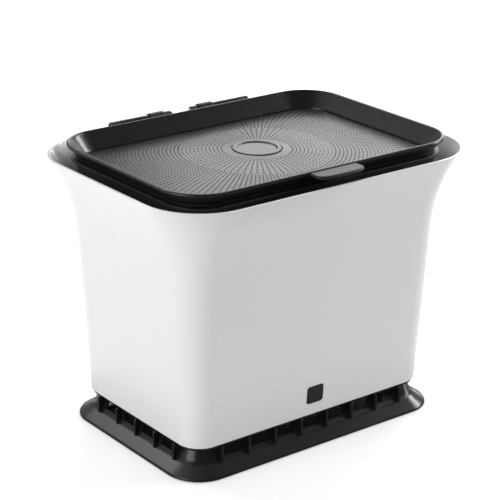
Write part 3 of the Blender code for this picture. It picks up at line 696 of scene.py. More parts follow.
def merged_copy(node: str) -> bpy.types.Mesh:
    """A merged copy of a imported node's mesh, with its flat faces whole."""
    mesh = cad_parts[node].data.copy()
    mesh.name = node + "_copy"
    work = bmesh.new()
    work.from_mesh(mesh)
    bmesh.ops.remove_doubles(work, verts=work.verts, dist=SAME_CORNER)
    flat = math.radians(FLAT_ANGLE)
    bmesh.ops.dissolve_limit(work, angle_limit=flat, verts=work.verts, edges=work.edges)
    work.to_mesh(mesh)
    work.free()
    return mesh


def smooth(mesh: bpy.types.Mesh) -> None:
    """Shade a mesh smooth, except over its crisp edges."""
    mesh.shade_smooth()
    mesh.set_sharp_from_angle(angle=math.radians(CRISP_ANGLE))


def placed(name: str, data: bpy.types.ID) -> bpy.types.Object:
    """A new object at the origin of the scene."""
    made = bpy.data.objects.new(name, data)
    bpy.context.collection.objects.link(made)
    return made


def fit(
    name: str, shape: Surface | bpy.types.Mesh, body: Body, finish: Finish, *nodes: str
) -> bpy.types.Object:
    """Make a piece and mount it.

    Args:
        name: the piece's name.
        shape: a surface, or a finished mesh.
        body: what it rides on.
        finish: its finish.
        nodes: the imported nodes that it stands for.

    Returns:
        The piece.
    """
    mesh = mesh_of(name, shape) if isinstance(shape, Surface) else shape
    smooth(mesh)
    mesh.materials.clear()
    mesh.materials.append(finish.material())
    piece = placed(name, mesh)
    piece.modifiers.new("even_shading", "WEIGHTED_NORMAL").keep_sharp = True
    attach(piece, body.value)
    if nodes:
        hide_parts(*nodes)
    log.info("%s: %d faces", name, len(mesh.polygons))
    return piece


def carve(piece: bpy.types.Object, tool: Surface) -> None:
    """Cut a closed surface out of a piece, for good.

    Args:
        piece: the piece.
        tool: what is cut out.
    """
    cutter = placed("cutter", mesh_of("cutter", tool))
    cut = piece.modifiers.new("cut", "BOOLEAN")
    cut.operation, cut.solver, cut.object = "DIFFERENCE", "EXACT", cutter
    piece.modifiers.move(len(piece.modifiers) - 1, 0)
    piece.modifiers["even_shading"].show_viewport = False
    whole = piece.evaluated_get(bpy.context.evaluated_depsgraph_get())
    piece.data = bpy.data.meshes.new_from_object(whole)
    piece.modifiers.remove(cut)
    piece.modifiers["even_shading"].show_viewport = True
    smooth(piece.data)
    bpy.data.objects.remove(cutter, do_unlink=True)


def soften(piece: bpy.types.Object, width: float) -> None:
    """Round a piece's sharp edges by a width."""
    rounding = piece.modifiers.new("soft_edges", "BEVEL")
    rounding.width = width
    rounding.segments = 2
    rounding.limit_method = "ANGLE"
    rounding.angle_limit = math.radians(SOFTENED_ANGLE)
    piece.modifiers.move(len(piece.modifiers) - 1, 0)


@dataclass(frozen=True)
class Hinge:
    """Two hinges at the back, with knuckles of the frame, the ring, the lid and the frame again."""

    axis_y: float = 0.1075
    axis_z: float = 0.2370
    start: float = 0.0105
    gap: float = 0.0004
    widths: tuple[float, ...] = (0.0075, 0.0145, 0.0292, 0.0090)
    barrel: float = 0.0038
    raised_barrel: float = 0.0050
    bore: float = 0.00195
    bore_edge: float = 0.0002
    edge: float = 0.0005
    pin: float = 0.0016
    pin_centre: float = 0.0002
    pin_head: float = 0.0027
    pin_head_length: float = 0.0015
    end_wall: float = 0.0006
    barrel_sides: int = 36
    pin_sides: int = 28

    def spans(self) -> list[Span]:
        """First and last X of each knuckle, from the middle outwards."""
        ends = np.cumsum(np.array(self.widths) + self.gap) + self.start - self.gap
        return [(end - width, end) for end, width in zip(ends.tolist(), self.widths)]

    def round_the_axis(
        self, corners: Sequence[Corner], sides: int, steps: int = 4, ring: bool = False
    ) -> Surface:
        """A profile turned about the hinges' axis; its ways along are places in X."""
        centre = (0, self.axis_y, self.axis_z)
        return turned(corners, sides, centre, Push.ALONG_X, steps, ring)

    def knuckles(
        self,
        numbers: Sequence[int],
        root: Span,
        bends: Sequence[Corner],
        thickness: float,
        radius: float,
    ) -> Surface:
        """Arms and barrels of some knuckles, at both hinges.

        The arm is a strip along a path from its root to the axis, whose bends are rounded; the
        barrel is a tube with rounded ends.

        Args:
            numbers: which knuckles, from the middle outwards.
            root: Y and Z at which the arm starts.
            bends: shares of the way to the axis, in Y and in Z, and the radius of each bend.
            thickness: the arm's.
            radius: the barrel's.

        Returns:
            All of them.
        """
        way = (self.axis_y - root[0], self.axis_z - root[1])
        corners = [
            (root[0] + run * way[0], root[1] + rise * way[1], bend) for run, rise, bend in bends
        ]
        outline = strip(filleted(corners, steps=5, closed=False), thickness)
        made = []
        for side in SIDES:
            for number in numbers:
                low, high = sorted(side * end for end in self.spans()[number])
                made.append(slab(outline, low, high, self.edge, Push.ALONG_X))
                tube = [
                    (self.bore, low, self.bore_edge),
                    (radius, low, self.edge),
                    (radius, high, self.edge),
                    (self.bore, high, self.bore_edge),
                ]
                made.append(self.round_the_axis(tube, self.barrel_sides, steps=3, ring=True))
        return gathered(made)

    def fit_pins(self) -> None:
        """Two pins with domed heads at the ends nearer the middle."""
        near, far = self.start - GAP, self.spans()[-1][1] - self.end_wall - GAP
        outer = near - self.pin_head_length
        for name, side in (("hinge_pin_left", -1), ("hinge_pin_right", 1)):
            pin = self.round_the_axis([
                (self.pin_centre, side * outer, 0.0),
                (self.pin_head, side * outer, 0.0011),
                (self.pin_head, side * near, 0.0002),
                (self.pin, side * near, 0.0),
                (self.pin, side * far, 0.0005),
                (self.pin_centre, side * far, 0.0),
            ], self.pin_sides)
            fit(name, pin, Body.BIN, BRIGHT_STEEL, name)


@dataclass(frozen=True)
class Bucket:
    """The white bucket, its inner ribs and the badge plate let into its front."""

    rim: RimOutline
    rim_height: float = 0.2323
    foot_height: float = 0.0241
    foot_inset: float = 0.0322
    flare_depth: float = 0.0660
    flare_reach: float = 0.0188
    flare_power: float = 2.16
    flare_steps: int = 28
    lip: float = 0.0011
    wall: float = 0.0020
    floor_ring: float = 0.0221
    seat_depth: float = 0.0523
    seat_width: float = 0.0030
    seat_slope: float = 0.0060
    rib_reach: float = 0.0030
    rib_thickness: float = 0.0016
    rib_edge: float = 0.0003
    rib_top_depth: float = 0.0773
    rib_pitch: float = 0.0270
    rib_counts: tuple[int, int] = (8, 5)
    badge_half: Span = (0.0085, 0.00775)
    badge_corner: float = 0.0026
    badge_height: float = 0.0423
    badge_thickness: float = 0.0009
    badge_recess: float = 0.0010
    badge_edges: Span = (0.0002, 0.0003)

    def draft(self) -> float:
        """How much the side leans in for each unit of height, below the flare."""
        return (self.foot_inset - self.flare_reach) / (self.rim_height - self.foot_height)

    def climb(self, height: np.ndarray | float) -> np.ndarray:
        """How far up the flare a height is, from nought at its foot to one at the rim."""
        return np.maximum(0.0, 1 - (self.rim_height - np.asarray(height)) / self.flare_depth)

    def outer(self, height: np.ndarray | float) -> np.ndarray:
        """Inset of the outer face: an even draft, and a flare that is a power of the climb."""
        flared = 1 - self.climb(height) ** self.flare_power
        return self.draft() * (self.rim_height - height) + self.flare_reach * flared

    def inner(self, height: np.ndarray | float) -> np.ndarray:
        """Inset of the inner face, a wall away square to the outer one."""
        lean = self.flare_reach * self.flare_power * self.climb(height) ** (self.flare_power - 1)
        return self.outer(height) + self.wall * np.hypot(1, self.draft() + lean / self.flare_depth)

    def seat_height(self) -> float:
        """Height of the seat inside, on which the frame stands."""
        return self.rim_height - self.seat_depth

    def opening(self) -> float:
        """Inset of the opening in the floor."""
        return self.foot_inset + self.wall + self.floor_ring

    def rib_rows(self) -> list[np.ndarray]:
        """Places of the ribs along the front and back, and along the ends."""
        return [(np.arange(count) - (count - 1) / 2) * self.rib_pitch for count in self.rib_counts]

    def section(self) -> np.ndarray:
        """The wall's section: up the outer face, over the lip, down the inner face past the seat.

        Returns:
            Rows of inset and height.
        """
        flare = self.rim_height - self.flare_depth
        rise = np.linspace(flare, self.rim_height - self.lip, self.flare_steps)
        floor, seat = self.foot_height + self.wall, self.seat_height()
        drop = rise[rise > seat + PAST][::-1]
        seat_foot, seat_inset = seat - self.seat_slope, self.inner(seat) + self.seat_width
        return filleted([
            (self.foot_inset, self.foot_height, 0.0006),
            *unrounded(zip(self.outer(rise), rise)),
            (0.0, self.rim_height, 0.0007),
            (self.inner(self.rim_height), self.rim_height, 0.0005),
            *unrounded(zip(self.inner(drop), drop)),
            (self.inner(seat), seat, 0.0003),
            (seat_inset, seat, 0.0006),
            (seat_inset, seat - self.wall, 0.0006),
            (self.inner(seat_foot), seat_foot, 0.0010),
            (self.inner(floor), floor, 0.0020),
            (self.opening(), floor, 0.0004),
            (self.opening(), self.foot_height, 0.0004),
        ], steps=4)

    def badge(self, margin: float, low: float, high: float, edge: float) -> Surface:
        """A rounded plate that leans with the front wall.

        Args:
            margin: how much larger it is than the badge.
            low: how far out of the wall it starts.
            high: how far out it ends.
            edge: radius of its edges.

        Returns:
            The surface.
        """
        half_width, half_height = (half + margin for half in self.badge_half)
        wall_y = self.outer(self.badge_height) - self.rim.half_depth
        flat = rounded_rectangle(half_width, half_height, self.badge_corner + margin)
        flat = flat + (0, self.badge_height)
        plate = slab(flat, wall_y - high, wall_y - low, edge, Push.ALONG_Y)
        return plate.leaned(math.atan(self.draft()), (0, wall_y, self.badge_height))

    def ribs(self) -> Surface:
        """Upright ribs inside, from the floor up, whose tops slope to the wall."""
        floor, top = self.foot_height + self.wall / 2, self.rim_height - self.rib_top_depth
        section = np.array([
            (self.outer(floor) + self.wall / 2, floor),
            (self.outer(top) + self.wall / 2, top),
            (self.inner(top) + self.rib_reach, top - self.rib_reach),
            (self.inner(floor) + self.rib_reach, floor),
        ])
        rows = self.rib_rows()
        return self.rim.round_the_sides(rows, section, self.rib_thickness, self.rib_edge)

    def build(self) -> None:
        """Make the bucket, its ribs and its badge."""
        hollow_edge, plate_edge = self.badge_edges
        wall = self.rim.swept(self.section())
        shell = fit("bucket_wall", wall, Body.BIN, WHITE_GLOSS, "outer_shell")
        carve(shell, self.badge(GAP, -self.badge_recess, self.wall / 2, hollow_edge))
        fit("inner_ribs", self.ribs(), Body.BIN, WHITE_GLOSS)
        low = GAP - self.badge_recess
        plate = self.badge(0.0, low, low + self.badge_thickness, plate_edge)
        fit("badge_plate", plate, Body.BIN, FRAME_SATIN, "front_badge")


@dataclass(frozen=True)
class Plinth:
    """The black base: a skirt with a nose and a waist, ribs, air windows, pads and screws."""

    bucket: Bucket
    skirt_inset: float = 0.0214
    nose_height: float = 0.0023
    nose_radius: float = 0.0034
    waist: Span = (0.0336, 0.0104)
    waist_radius: float = 0.0100
    neck_inset: float = 0.0390
    neck_step: float = 0.0002
    wall: float = 0.0020
    flange_inset: float = 0.0337
    flange_thickness: float = 0.0022
    rib_inset: float = 0.0305
    rib_top: float = 0.0224
    rib_thickness: float = 0.0020
    rib_edge: float = 0.0004
    window_width: float = 0.0180
    window_bottom: float = 0.0125
    window_top_margin: float = 0.0016
    screw_inset: float = 0.0503
    screw_radius: float = 0.0015
    screw_centres: Span = (0.0003, 0.0004)
    screw_head: Span = (0.0034, 0.0021)
    screw_tip: float = 0.0326
    screw_sides: int = 32
    cross_shares: Span = (0.62, 0.13)
    cross_depth: float = 0.55
    pad_end_inset: float = 0.0693
    pad_radius: float = 0.0055
    pad_thickness: float = 0.0020
    pad_centre: float = 0.0004
    pad_sides: int = 40
    stud: Span = (0.0016, 0.0035)
    post_bore: float = 0.0018
    grate_softening: float = 0.0004

    def flange_top(self) -> float:
        """Height of the flange under the bucket."""
        return self.bucket.foot_height - GAP

    def flange_bottom(self) -> float:
        """Height of the flange's underside."""
        return self.flange_top() - self.flange_thickness

    def skirt(self) -> np.ndarray:
        """The skirt's face: upright, over a nose, up a slope and through a waist to the neck.

        Returns:
            Rows of inset and height, from the bottom up.
        """
        return filleted([
            (self.skirt_inset, GAP, 0.0),
            (self.skirt_inset, self.nose_height, self.nose_radius),
            (*self.waist, self.waist_radius),
            (self.neck_inset, self.flange_bottom(), 0.0),
        ], steps=8, closed=False)

    def section(self) -> np.ndarray:
        """The base's section: the skirt, its flange, and the inner face of the skirt back down."""
        face = self.skirt()
        inner = beside(face, -self.wall)[::-1]
        bottom, top, opening = self.flange_bottom(), self.flange_top(), self.bucket.opening()
        return filleted([
            (self.skirt_inset, GAP, 0.0003),
            *unrounded(face[1:-1]),
            (self.neck_inset, bottom, 0.0008),
            (self.flange_inset, bottom, 0.0003),
            (self.flange_inset, top, 0.0003),
            (opening, top, 0.0003),
            (opening, bottom, 0.0003),
            (self.neck_inset + self.wall + self.neck_step, bottom, 0.0),
            *unrounded(inner[2:-1]),
            (self.skirt_inset + self.wall, GAP, 0.0003),
        ])

    def ribs(self) -> Surface:
        """Upright fins from the skirt to the flange; their foot runs within the skirt's wall."""
        middle = beside(self.skirt(), -self.wall / 2)
        inside = self.neck_inset + self.wall / 2
        section = filleted([
            (self.rib_inset, np.interp(self.rib_inset, *middle.T), 0.0),
            *unrounded(middle[middle[:, 0] > self.rib_inset][:-1]),
            (inside, self.flange_bottom() + GAP, 0.0),
            (inside, self.rib_top + GAP, 0.0),
            (self.rib_inset, self.rib_top, 0.0008),
        ])
        rim, rows = self.bucket.rim, self.bucket.rib_rows()
        return rim.round_the_sides(rows, section, self.rib_thickness, self.rib_edge)

    def windows(self) -> Surface:
        """What is cut out of the neck between the ribs."""
        low, high = self.rib_inset - self.wall, self.neck_inset + 2 * self.wall
        bottom, top = self.window_bottom, self.flange_bottom() - self.window_top_margin
        section = np.array([(low, bottom), (high, bottom), (high, top), (low, top)])
        rows = [(row[:-1] + row[1:]) / 2 for row in self.bucket.rib_rows()]
        return self.bucket.rim.round_the_sides(rows, section, self.window_width, 0.0)

    def pad_places(self) -> list[Place]:
        """Places of the pads on the ground, in the order of their nodes."""
        rim = self.bucket.rim
        x, y = rim.half_length - self.pad_end_inset, rim.half_depth - self.screw_inset
        return [(end * x, side * y, 0.0) for side in SIDES for end in SIDES]

    def screw_places(self) -> list[Place]:
        """Places of the screws, in the order of their nodes."""
        rim = self.bucket.rim
        x, y = rim.half_length - self.screw_inset, rim.half_depth - self.screw_inset
        return [(x, y, 0.0), (-x, y, 0.0), (-x, -y, 0.0), (x, -y, 0.0)]

    def fit_pads(self) -> None:
        """Soft pads, each with a stud up into its post."""
        stud_radius, stud_length = self.stud
        stud_top = self.pad_thickness + stud_length
        profile = [
            (self.pad_centre, 0.0, 0.0),
            (self.pad_radius, 0.0, 0.0006),
            (self.pad_radius, self.pad_thickness, 0.0004),
            (stud_radius, self.pad_thickness, 0.0),
            (stud_radius, stud_top, 0.0004),
            (self.pad_centre, stud_top, 0.0),
        ]
        for number, place in enumerate(self.pad_places(), 1):
            pad = turned(profile, self.pad_sides, place)
            fit(f"soft_pad_{number}", pad, Body.BIN, PAD_RUBBER, f"foot_pad_{number}")

    def fit_screws(self) -> None:
        """Screws with low domed heads and a cross recess, driven from below."""
        head_radius, head = self.screw_head
        head_centre, tip_centre = self.screw_centres
        top = self.flange_bottom() - GAP
        bottom = top - head
        profile = [
            (head_centre, bottom, 0.0),
            (head_radius, bottom, 0.0011),
            (head_radius, top, 0.0002),
            (self.screw_radius, top, 0.0),
            (self.screw_radius, self.screw_tip - self.screw_radius, 0.0003),
            (tip_centre, self.screw_tip, 0.0),
        ]
        arm, half = (head_radius * share for share in self.cross_shares)
        cross = np.array([
            (arm, -half), (arm, half), (half, half), (half, arm), (-half, arm), (-half, half),
            (-arm, half), (-arm, -half), (-half, -half), (-half, -arm), (half, -arm), (half, -half),
        ])
        for number, place in enumerate(self.screw_places(), 1):
            screw = turned(profile, self.screw_sides, place)
            piece = fit(
                f"floor_screw_{number}", screw, Body.BIN, BRIGHT_STEEL, f"base_screw_{number}"
            )
            deepest = bottom + head * self.cross_depth
            carve(piece, slab(cross + place[:2], bottom - PAST, deepest, 0.0, Push.UP))

    def posts(self) -> list[Surface]:
        """Posts from the pads up into the flange."""
        bottom, top = self.pad_thickness + GAP, self.flange_bottom() + PAST
        profile = [
            (self.post_bore, bottom, 0.0),
            (self.pad_radius, bottom, 0.0004),
            (self.pad_radius, top, 0.0),
            (self.post_bore, top, 0.0),
        ]
        places = self.pad_places()
        return [turned(profile, self.pad_sides, place, steps=3) for place in places]

    def build(self) -> None:
        """Make the base and everything under it."""
        skirt = self.bucket.rim.swept(self.section())
        piece = fit("base_skirt", skirt, Body.BIN, BLACK_SATIN, "base_plinth")
        carve(piece, self.windows())
        fit("base_fins", gathered([self.ribs(), *self.posts()]), Body.BIN, BLACK_SATIN)
        self.fit_pads()
        self.fit_screws()
        mesh = merged_copy("floor_grate")
        grate = fit("slotted_floor", mesh, Body.BIN, BLACK_SATIN, "floor_grate")
        soften(grate, self.grate_softening)


@dataclass(frozen=True)
class MouthFrame:
    """The frame let into the bucket's mouth, which carries the bag ring and the hinges."""

    bucket: Bucket
    hinge: Hinge
    play: float = 0.0005
    wall: float = 0.0020
    drop: float = 0.0028
    edge_inset: float = 0.0196
    flange: float = 0.0018
    seat_depth: float = 0.0175
    seat_width: float = 0.0082
    seat_thickness: float = 0.0020
    arm: float = 0.0026
    arm_root: float = 0.0019
    arm_bends: tuple[Corner, ...] = ((0.0, 0.0, 0.0), (0.52, 0.08, 0.004), (1.0, 1.0, 0.0))

    def top(self) -> float:
        """Height of the flange."""
        return self.bucket.rim_height - self.drop

    def seat(self) -> float:
        """Height of the seat on which the bag ring lies."""
        return self.top() - self.seat_depth

    def outer(self) -> float:
        """Inset of the wall that drops into the bucket."""
        return self.bucket.inner(self.bucket.seat_height()) + self.play

    def mouth(self) -> float:
        """Inset of the mouth."""
        return self.outer() + self.wall

    def section(self) -> np.ndarray:
        """The frame's section."""
        foot, top, under = self.bucket.seat_height() + GAP, self.top(), self.top() - self.flange
        outer, inner, edge = self.outer(), self.mouth(), self.mouth() + self.seat_width
        seat, below = self.seat(), self.seat() - self.seat_thickness
        return filleted([
            (outer, foot, 0.0005),
            (outer, under, 0.0008),
            (self.edge_inset, under, 0.0004),
            (self.edge_inset, top, 0.0006),
            (inner, top, 0.0005),
            (inner, seat, 0.0006),
            (edge, seat, 0.0005),
            (edge, below, 0.0005),
            (inner, below - self.seat_thickness, 0.0010),
            (inner, foot, 0.0005),
        ], steps=4)

    def notches(self) -> Surface:
        """What is cut out of the flange's back for the ring's knuckles."""
        half_depth, gap = self.bucket.rim.half_depth, self.hinge.gap
        front = half_depth - self.mouth() - PAST
        back = half_depth - self.edge_inset + PAST
        start, end = self.hinge.spans()[1]
        made = []
        for side in SIDES:
            low, high = sorted((side * (start - gap), side * (end + gap)))
            face = np.array([(low, front), (high, front), (high, back), (low, back)])
            made.append(slab(face, self.seat(), self.top() + PAST, 0.0, Push.UP))
        return gathered(made)

    def build(self) -> None:
        """Make the frame with the notches and knuckles of its hinges."""
        rim = self.bucket.rim
        piece = fit("mouth_frame", rim.swept(self.section()), Body.BIN, FRAME_SATIN, "collar")
        carve(piece, self.notches())
        back = rim.half_depth - self.edge_inset
        root = (back - self.arm_root, self.top() - self.flange / 2)
        barrel = self.hinge.barrel
        knuckles = self.hinge.knuckles((0, 3), root, self.arm_bends, self.arm, barrel)
        fit("frame_knuckles", knuckles, Body.BIN, FRAME_SATIN)
        self.hinge.fit_pins()


@dataclass(frozen=True)
class BagRing:
    """The hinged ring that traps the bag's folded edge on the frame's seat."""

    holder: MouthFrame
    play: float = 0.0020
    thickness: float = 0.0020
    bag_space: float = 0.0028
    lip: float = 0.0028
    drop: float = 0.0120
    tab_half_width: float = 0.0160
    tab_rise: float = 0.0080
    tab_corner: float = 0.0040
    tab_thickness: float = 0.0018
    tab_edge: float = 0.0005
    arm: float = 0.0038
    arm_root: float = 0.0016
    arm_bends: tuple[Corner, ...] = (
        (0.0, 0.0, 0.0), (0.45, 0.07, 0.004), (0.75, 0.40, 0.003), (1.0, 1.0, 0.0)
    )

    def edge(self) -> float:
        """Inset of the ring's outer edge."""
        return self.holder.mouth() + self.play

    def wall(self) -> float:
        """Inset of the wall that the bag is folded over."""
        return self.holder.mouth() + self.holder.seat_width + self.bag_space

    def bottom(self) -> float:
        """Height of the ring's underside."""
        return self.holder.seat() + GAP

    def section(self) -> np.ndarray:
        """The ring's section: a flat flange, and a wall that stands up and hangs down from it."""
        wall, inside = self.wall(), self.wall() + self.thickness
        bottom, top = self.bottom(), self.bottom() + self.thickness
        return filleted([
            (self.edge(), bottom, 0.0004),
            (self.edge(), top, 0.0006),
            (wall, top, 0.0006),
            (wall, top + self.lip, 0.0007),
            (inside, top + self.lip, 0.0007),
            (inside, bottom - self.drop, 0.0005),
            (wall, bottom - self.drop, 0.0005),
            (wall, bottom, 0.0006),
        ], steps=4)

    def tab(self) -> Surface:
        """The tab at the front by which the ring is lifted."""
        top = self.bottom() + self.thickness
        low, high = top - self.thickness / 2, top + self.tab_rise
        flat = rounded_rectangle(self.tab_half_width, (high - low) / 2, self.tab_corner)
        flat = flat + (0, (low + high) / 2)
        half_depth = self.holder.bucket.rim.half_depth
        face = half_depth - self.wall() - (self.thickness - self.tab_thickness) / 2
        return slab(flat, -face, self.tab_thickness - face, self.tab_edge, Push.ALONG_Y, steps=3)

    def build(self) -> None:
        """Make the ring, its lifting tab and its knuckles."""
        rim, hinge = self.holder.bucket.rim, self.holder.hinge
        fit("bag_ring_flange", rim.swept(self.section()), Body.RING, FRAME_SATIN, "bag_ring")
        back = rim.half_depth - self.edge()
        root = (back - self.arm_root, self.bottom() + self.arm / 2)
        knuckles = hinge.knuckles((1,), root, self.arm_bends, self.arm, hinge.raised_barrel)
        fit("ring_tab_and_knuckles", gathered([self.tab(), knuckles]), Body.RING, FRAME_SATIN)


@dataclass(frozen=True)
class LidTray:
    """The lid's tray with its rolled rim, the grip tab at the front and the knuckles behind."""

    holder: MouthFrame
    rise: float = 0.0127
    rim_inset: float = 0.0158
    roll: float = 0.00165
    roll_points: int = 13
    wall: float = 0.0020
    play: float = 0.0010
    rest_gap: float = 0.0004
    neck_inset: float = 0.0233
    neck_rise: float = 0.0015
    shoulder_inset: float = 0.0186
    ledge_width: float = 0.0047
    ledge_thickness: float = 0.0020
    bend: Span = (0.0006, 0.0030)
    tab_half_width: float = 0.0236
    tab_side: float = 0.0062
    tab_reach: float = 0.0147
    tab_power: float = 3.0
    tab_points: int = 49
    tab_root: float = 0.0018
    tab_drop: float = 0.0008
    tab_thickness: float = 0.0033
    tab_edge: float = 0.0016
    arm: float = 0.0030
    arm_root: float = 0.0017
    arm_drop: float = 0.0016
    arm_bends: tuple[Corner, ...] = ((0.0, 0.0, 0.0), (1.0, 1.0, 0.0))
    panel_edge_depth: float = 0.0016
    panel_thickness: float = 0.0018

    def top(self) -> float:
        """Height of the rolled rim."""
        return self.holder.top() + self.rise

    def pan(self) -> float:
        """Inset of the wall where it drops into the frame."""
        return self.holder.mouth() + self.play

    def panel_edge(self) -> float:
        """Height of the panel's top at its edge."""
        return self.holder.top() - self.panel_edge_depth

    def ledge_top(self) -> float:
        """Height of the ledge that the panel rests on."""
        return self.panel_edge() - self.panel_thickness - GAP

    def section(self) -> np.ndarray:
        """The tray's section: ledge, outer wall, neck, rim rolled most of a circle, inner slope."""
        pan, rest, ledge = self.pan(), self.holder.top() + self.rest_gap, self.ledge_top()
        inner, under = pan + self.wall, ledge - self.ledge_thickness
        across, up = self.rim_inset + self.roll, self.top() - self.roll
        turn = np.radians(np.linspace(270.0, 0.0, self.roll_points))
        rolled = zip(across + self.roll * np.cos(turn), up + self.roll * np.sin(turn))
        bend_in, bend_up = self.bend
        return filleted([
            (pan, under, 0.0005),
            (pan, rest, 0.0005),
            (self.neck_inset, rest, 0.0004),
            (self.neck_inset, rest + self.neck_rise, 0.0010),
            (self.shoulder_inset, up - self.roll, 0.0),
            *unrounded(rolled),
            (inner - bend_in, ledge + bend_up, 0.0030),
            (inner, ledge, 0.0003),
            (inner + self.ledge_width, ledge, 0.0003),
            (inner + self.ledge_width, under, 0.0005),
        ], steps=4)

    def tab(self) -> Surface:
        """The grip tab: straight sides and half a superellipse in front, closed inside the rim."""
        front = self.rim_inset - self.holder.bucket.rim.half_depth
        turn = np.linspace(0, math.pi, self.tab_points)
        cosine, sine, share = np.cos(turn), np.sin(turn), 2 / self.tab_power
        across = self.tab_half_width * np.sign(cosine) * np.abs(cosine) ** share
        out = self.tab_side + (self.tab_reach - self.tab_side) * np.abs(sine) ** share
        root = [(side * self.tab_half_width, front + self.tab_root) for side in SIDES]
        outline = np.vstack([np.column_stack([across, front - out]), root])
        top = self.top() - self.tab_drop
        return slab(outline, top - self.tab_thickness, top, self.tab_edge, Push.UP, steps=5)

    def build(self) -> None:
        """Make the tray, its tab and its knuckles."""
        rim, hinge = self.holder.bucket.rim, self.holder.hinge
        fit("tray_wall", rim.swept(self.section()), Body.LID, BLACK_SATIN, "lid_tray")
        fit("grip_tab", self.tab(), Body.LID, GRIP_SATIN)
        back = rim.half_depth - self.neck_inset
        root = (back + self.arm_root, hinge.axis_z - self.arm_drop)
        knuckles = hinge.knuckles((2,), root, self.arm_bends, self.arm, hinge.barrel)
        fit("lid_knuckles", knuckles, Body.LID, BLACK_SATIN)


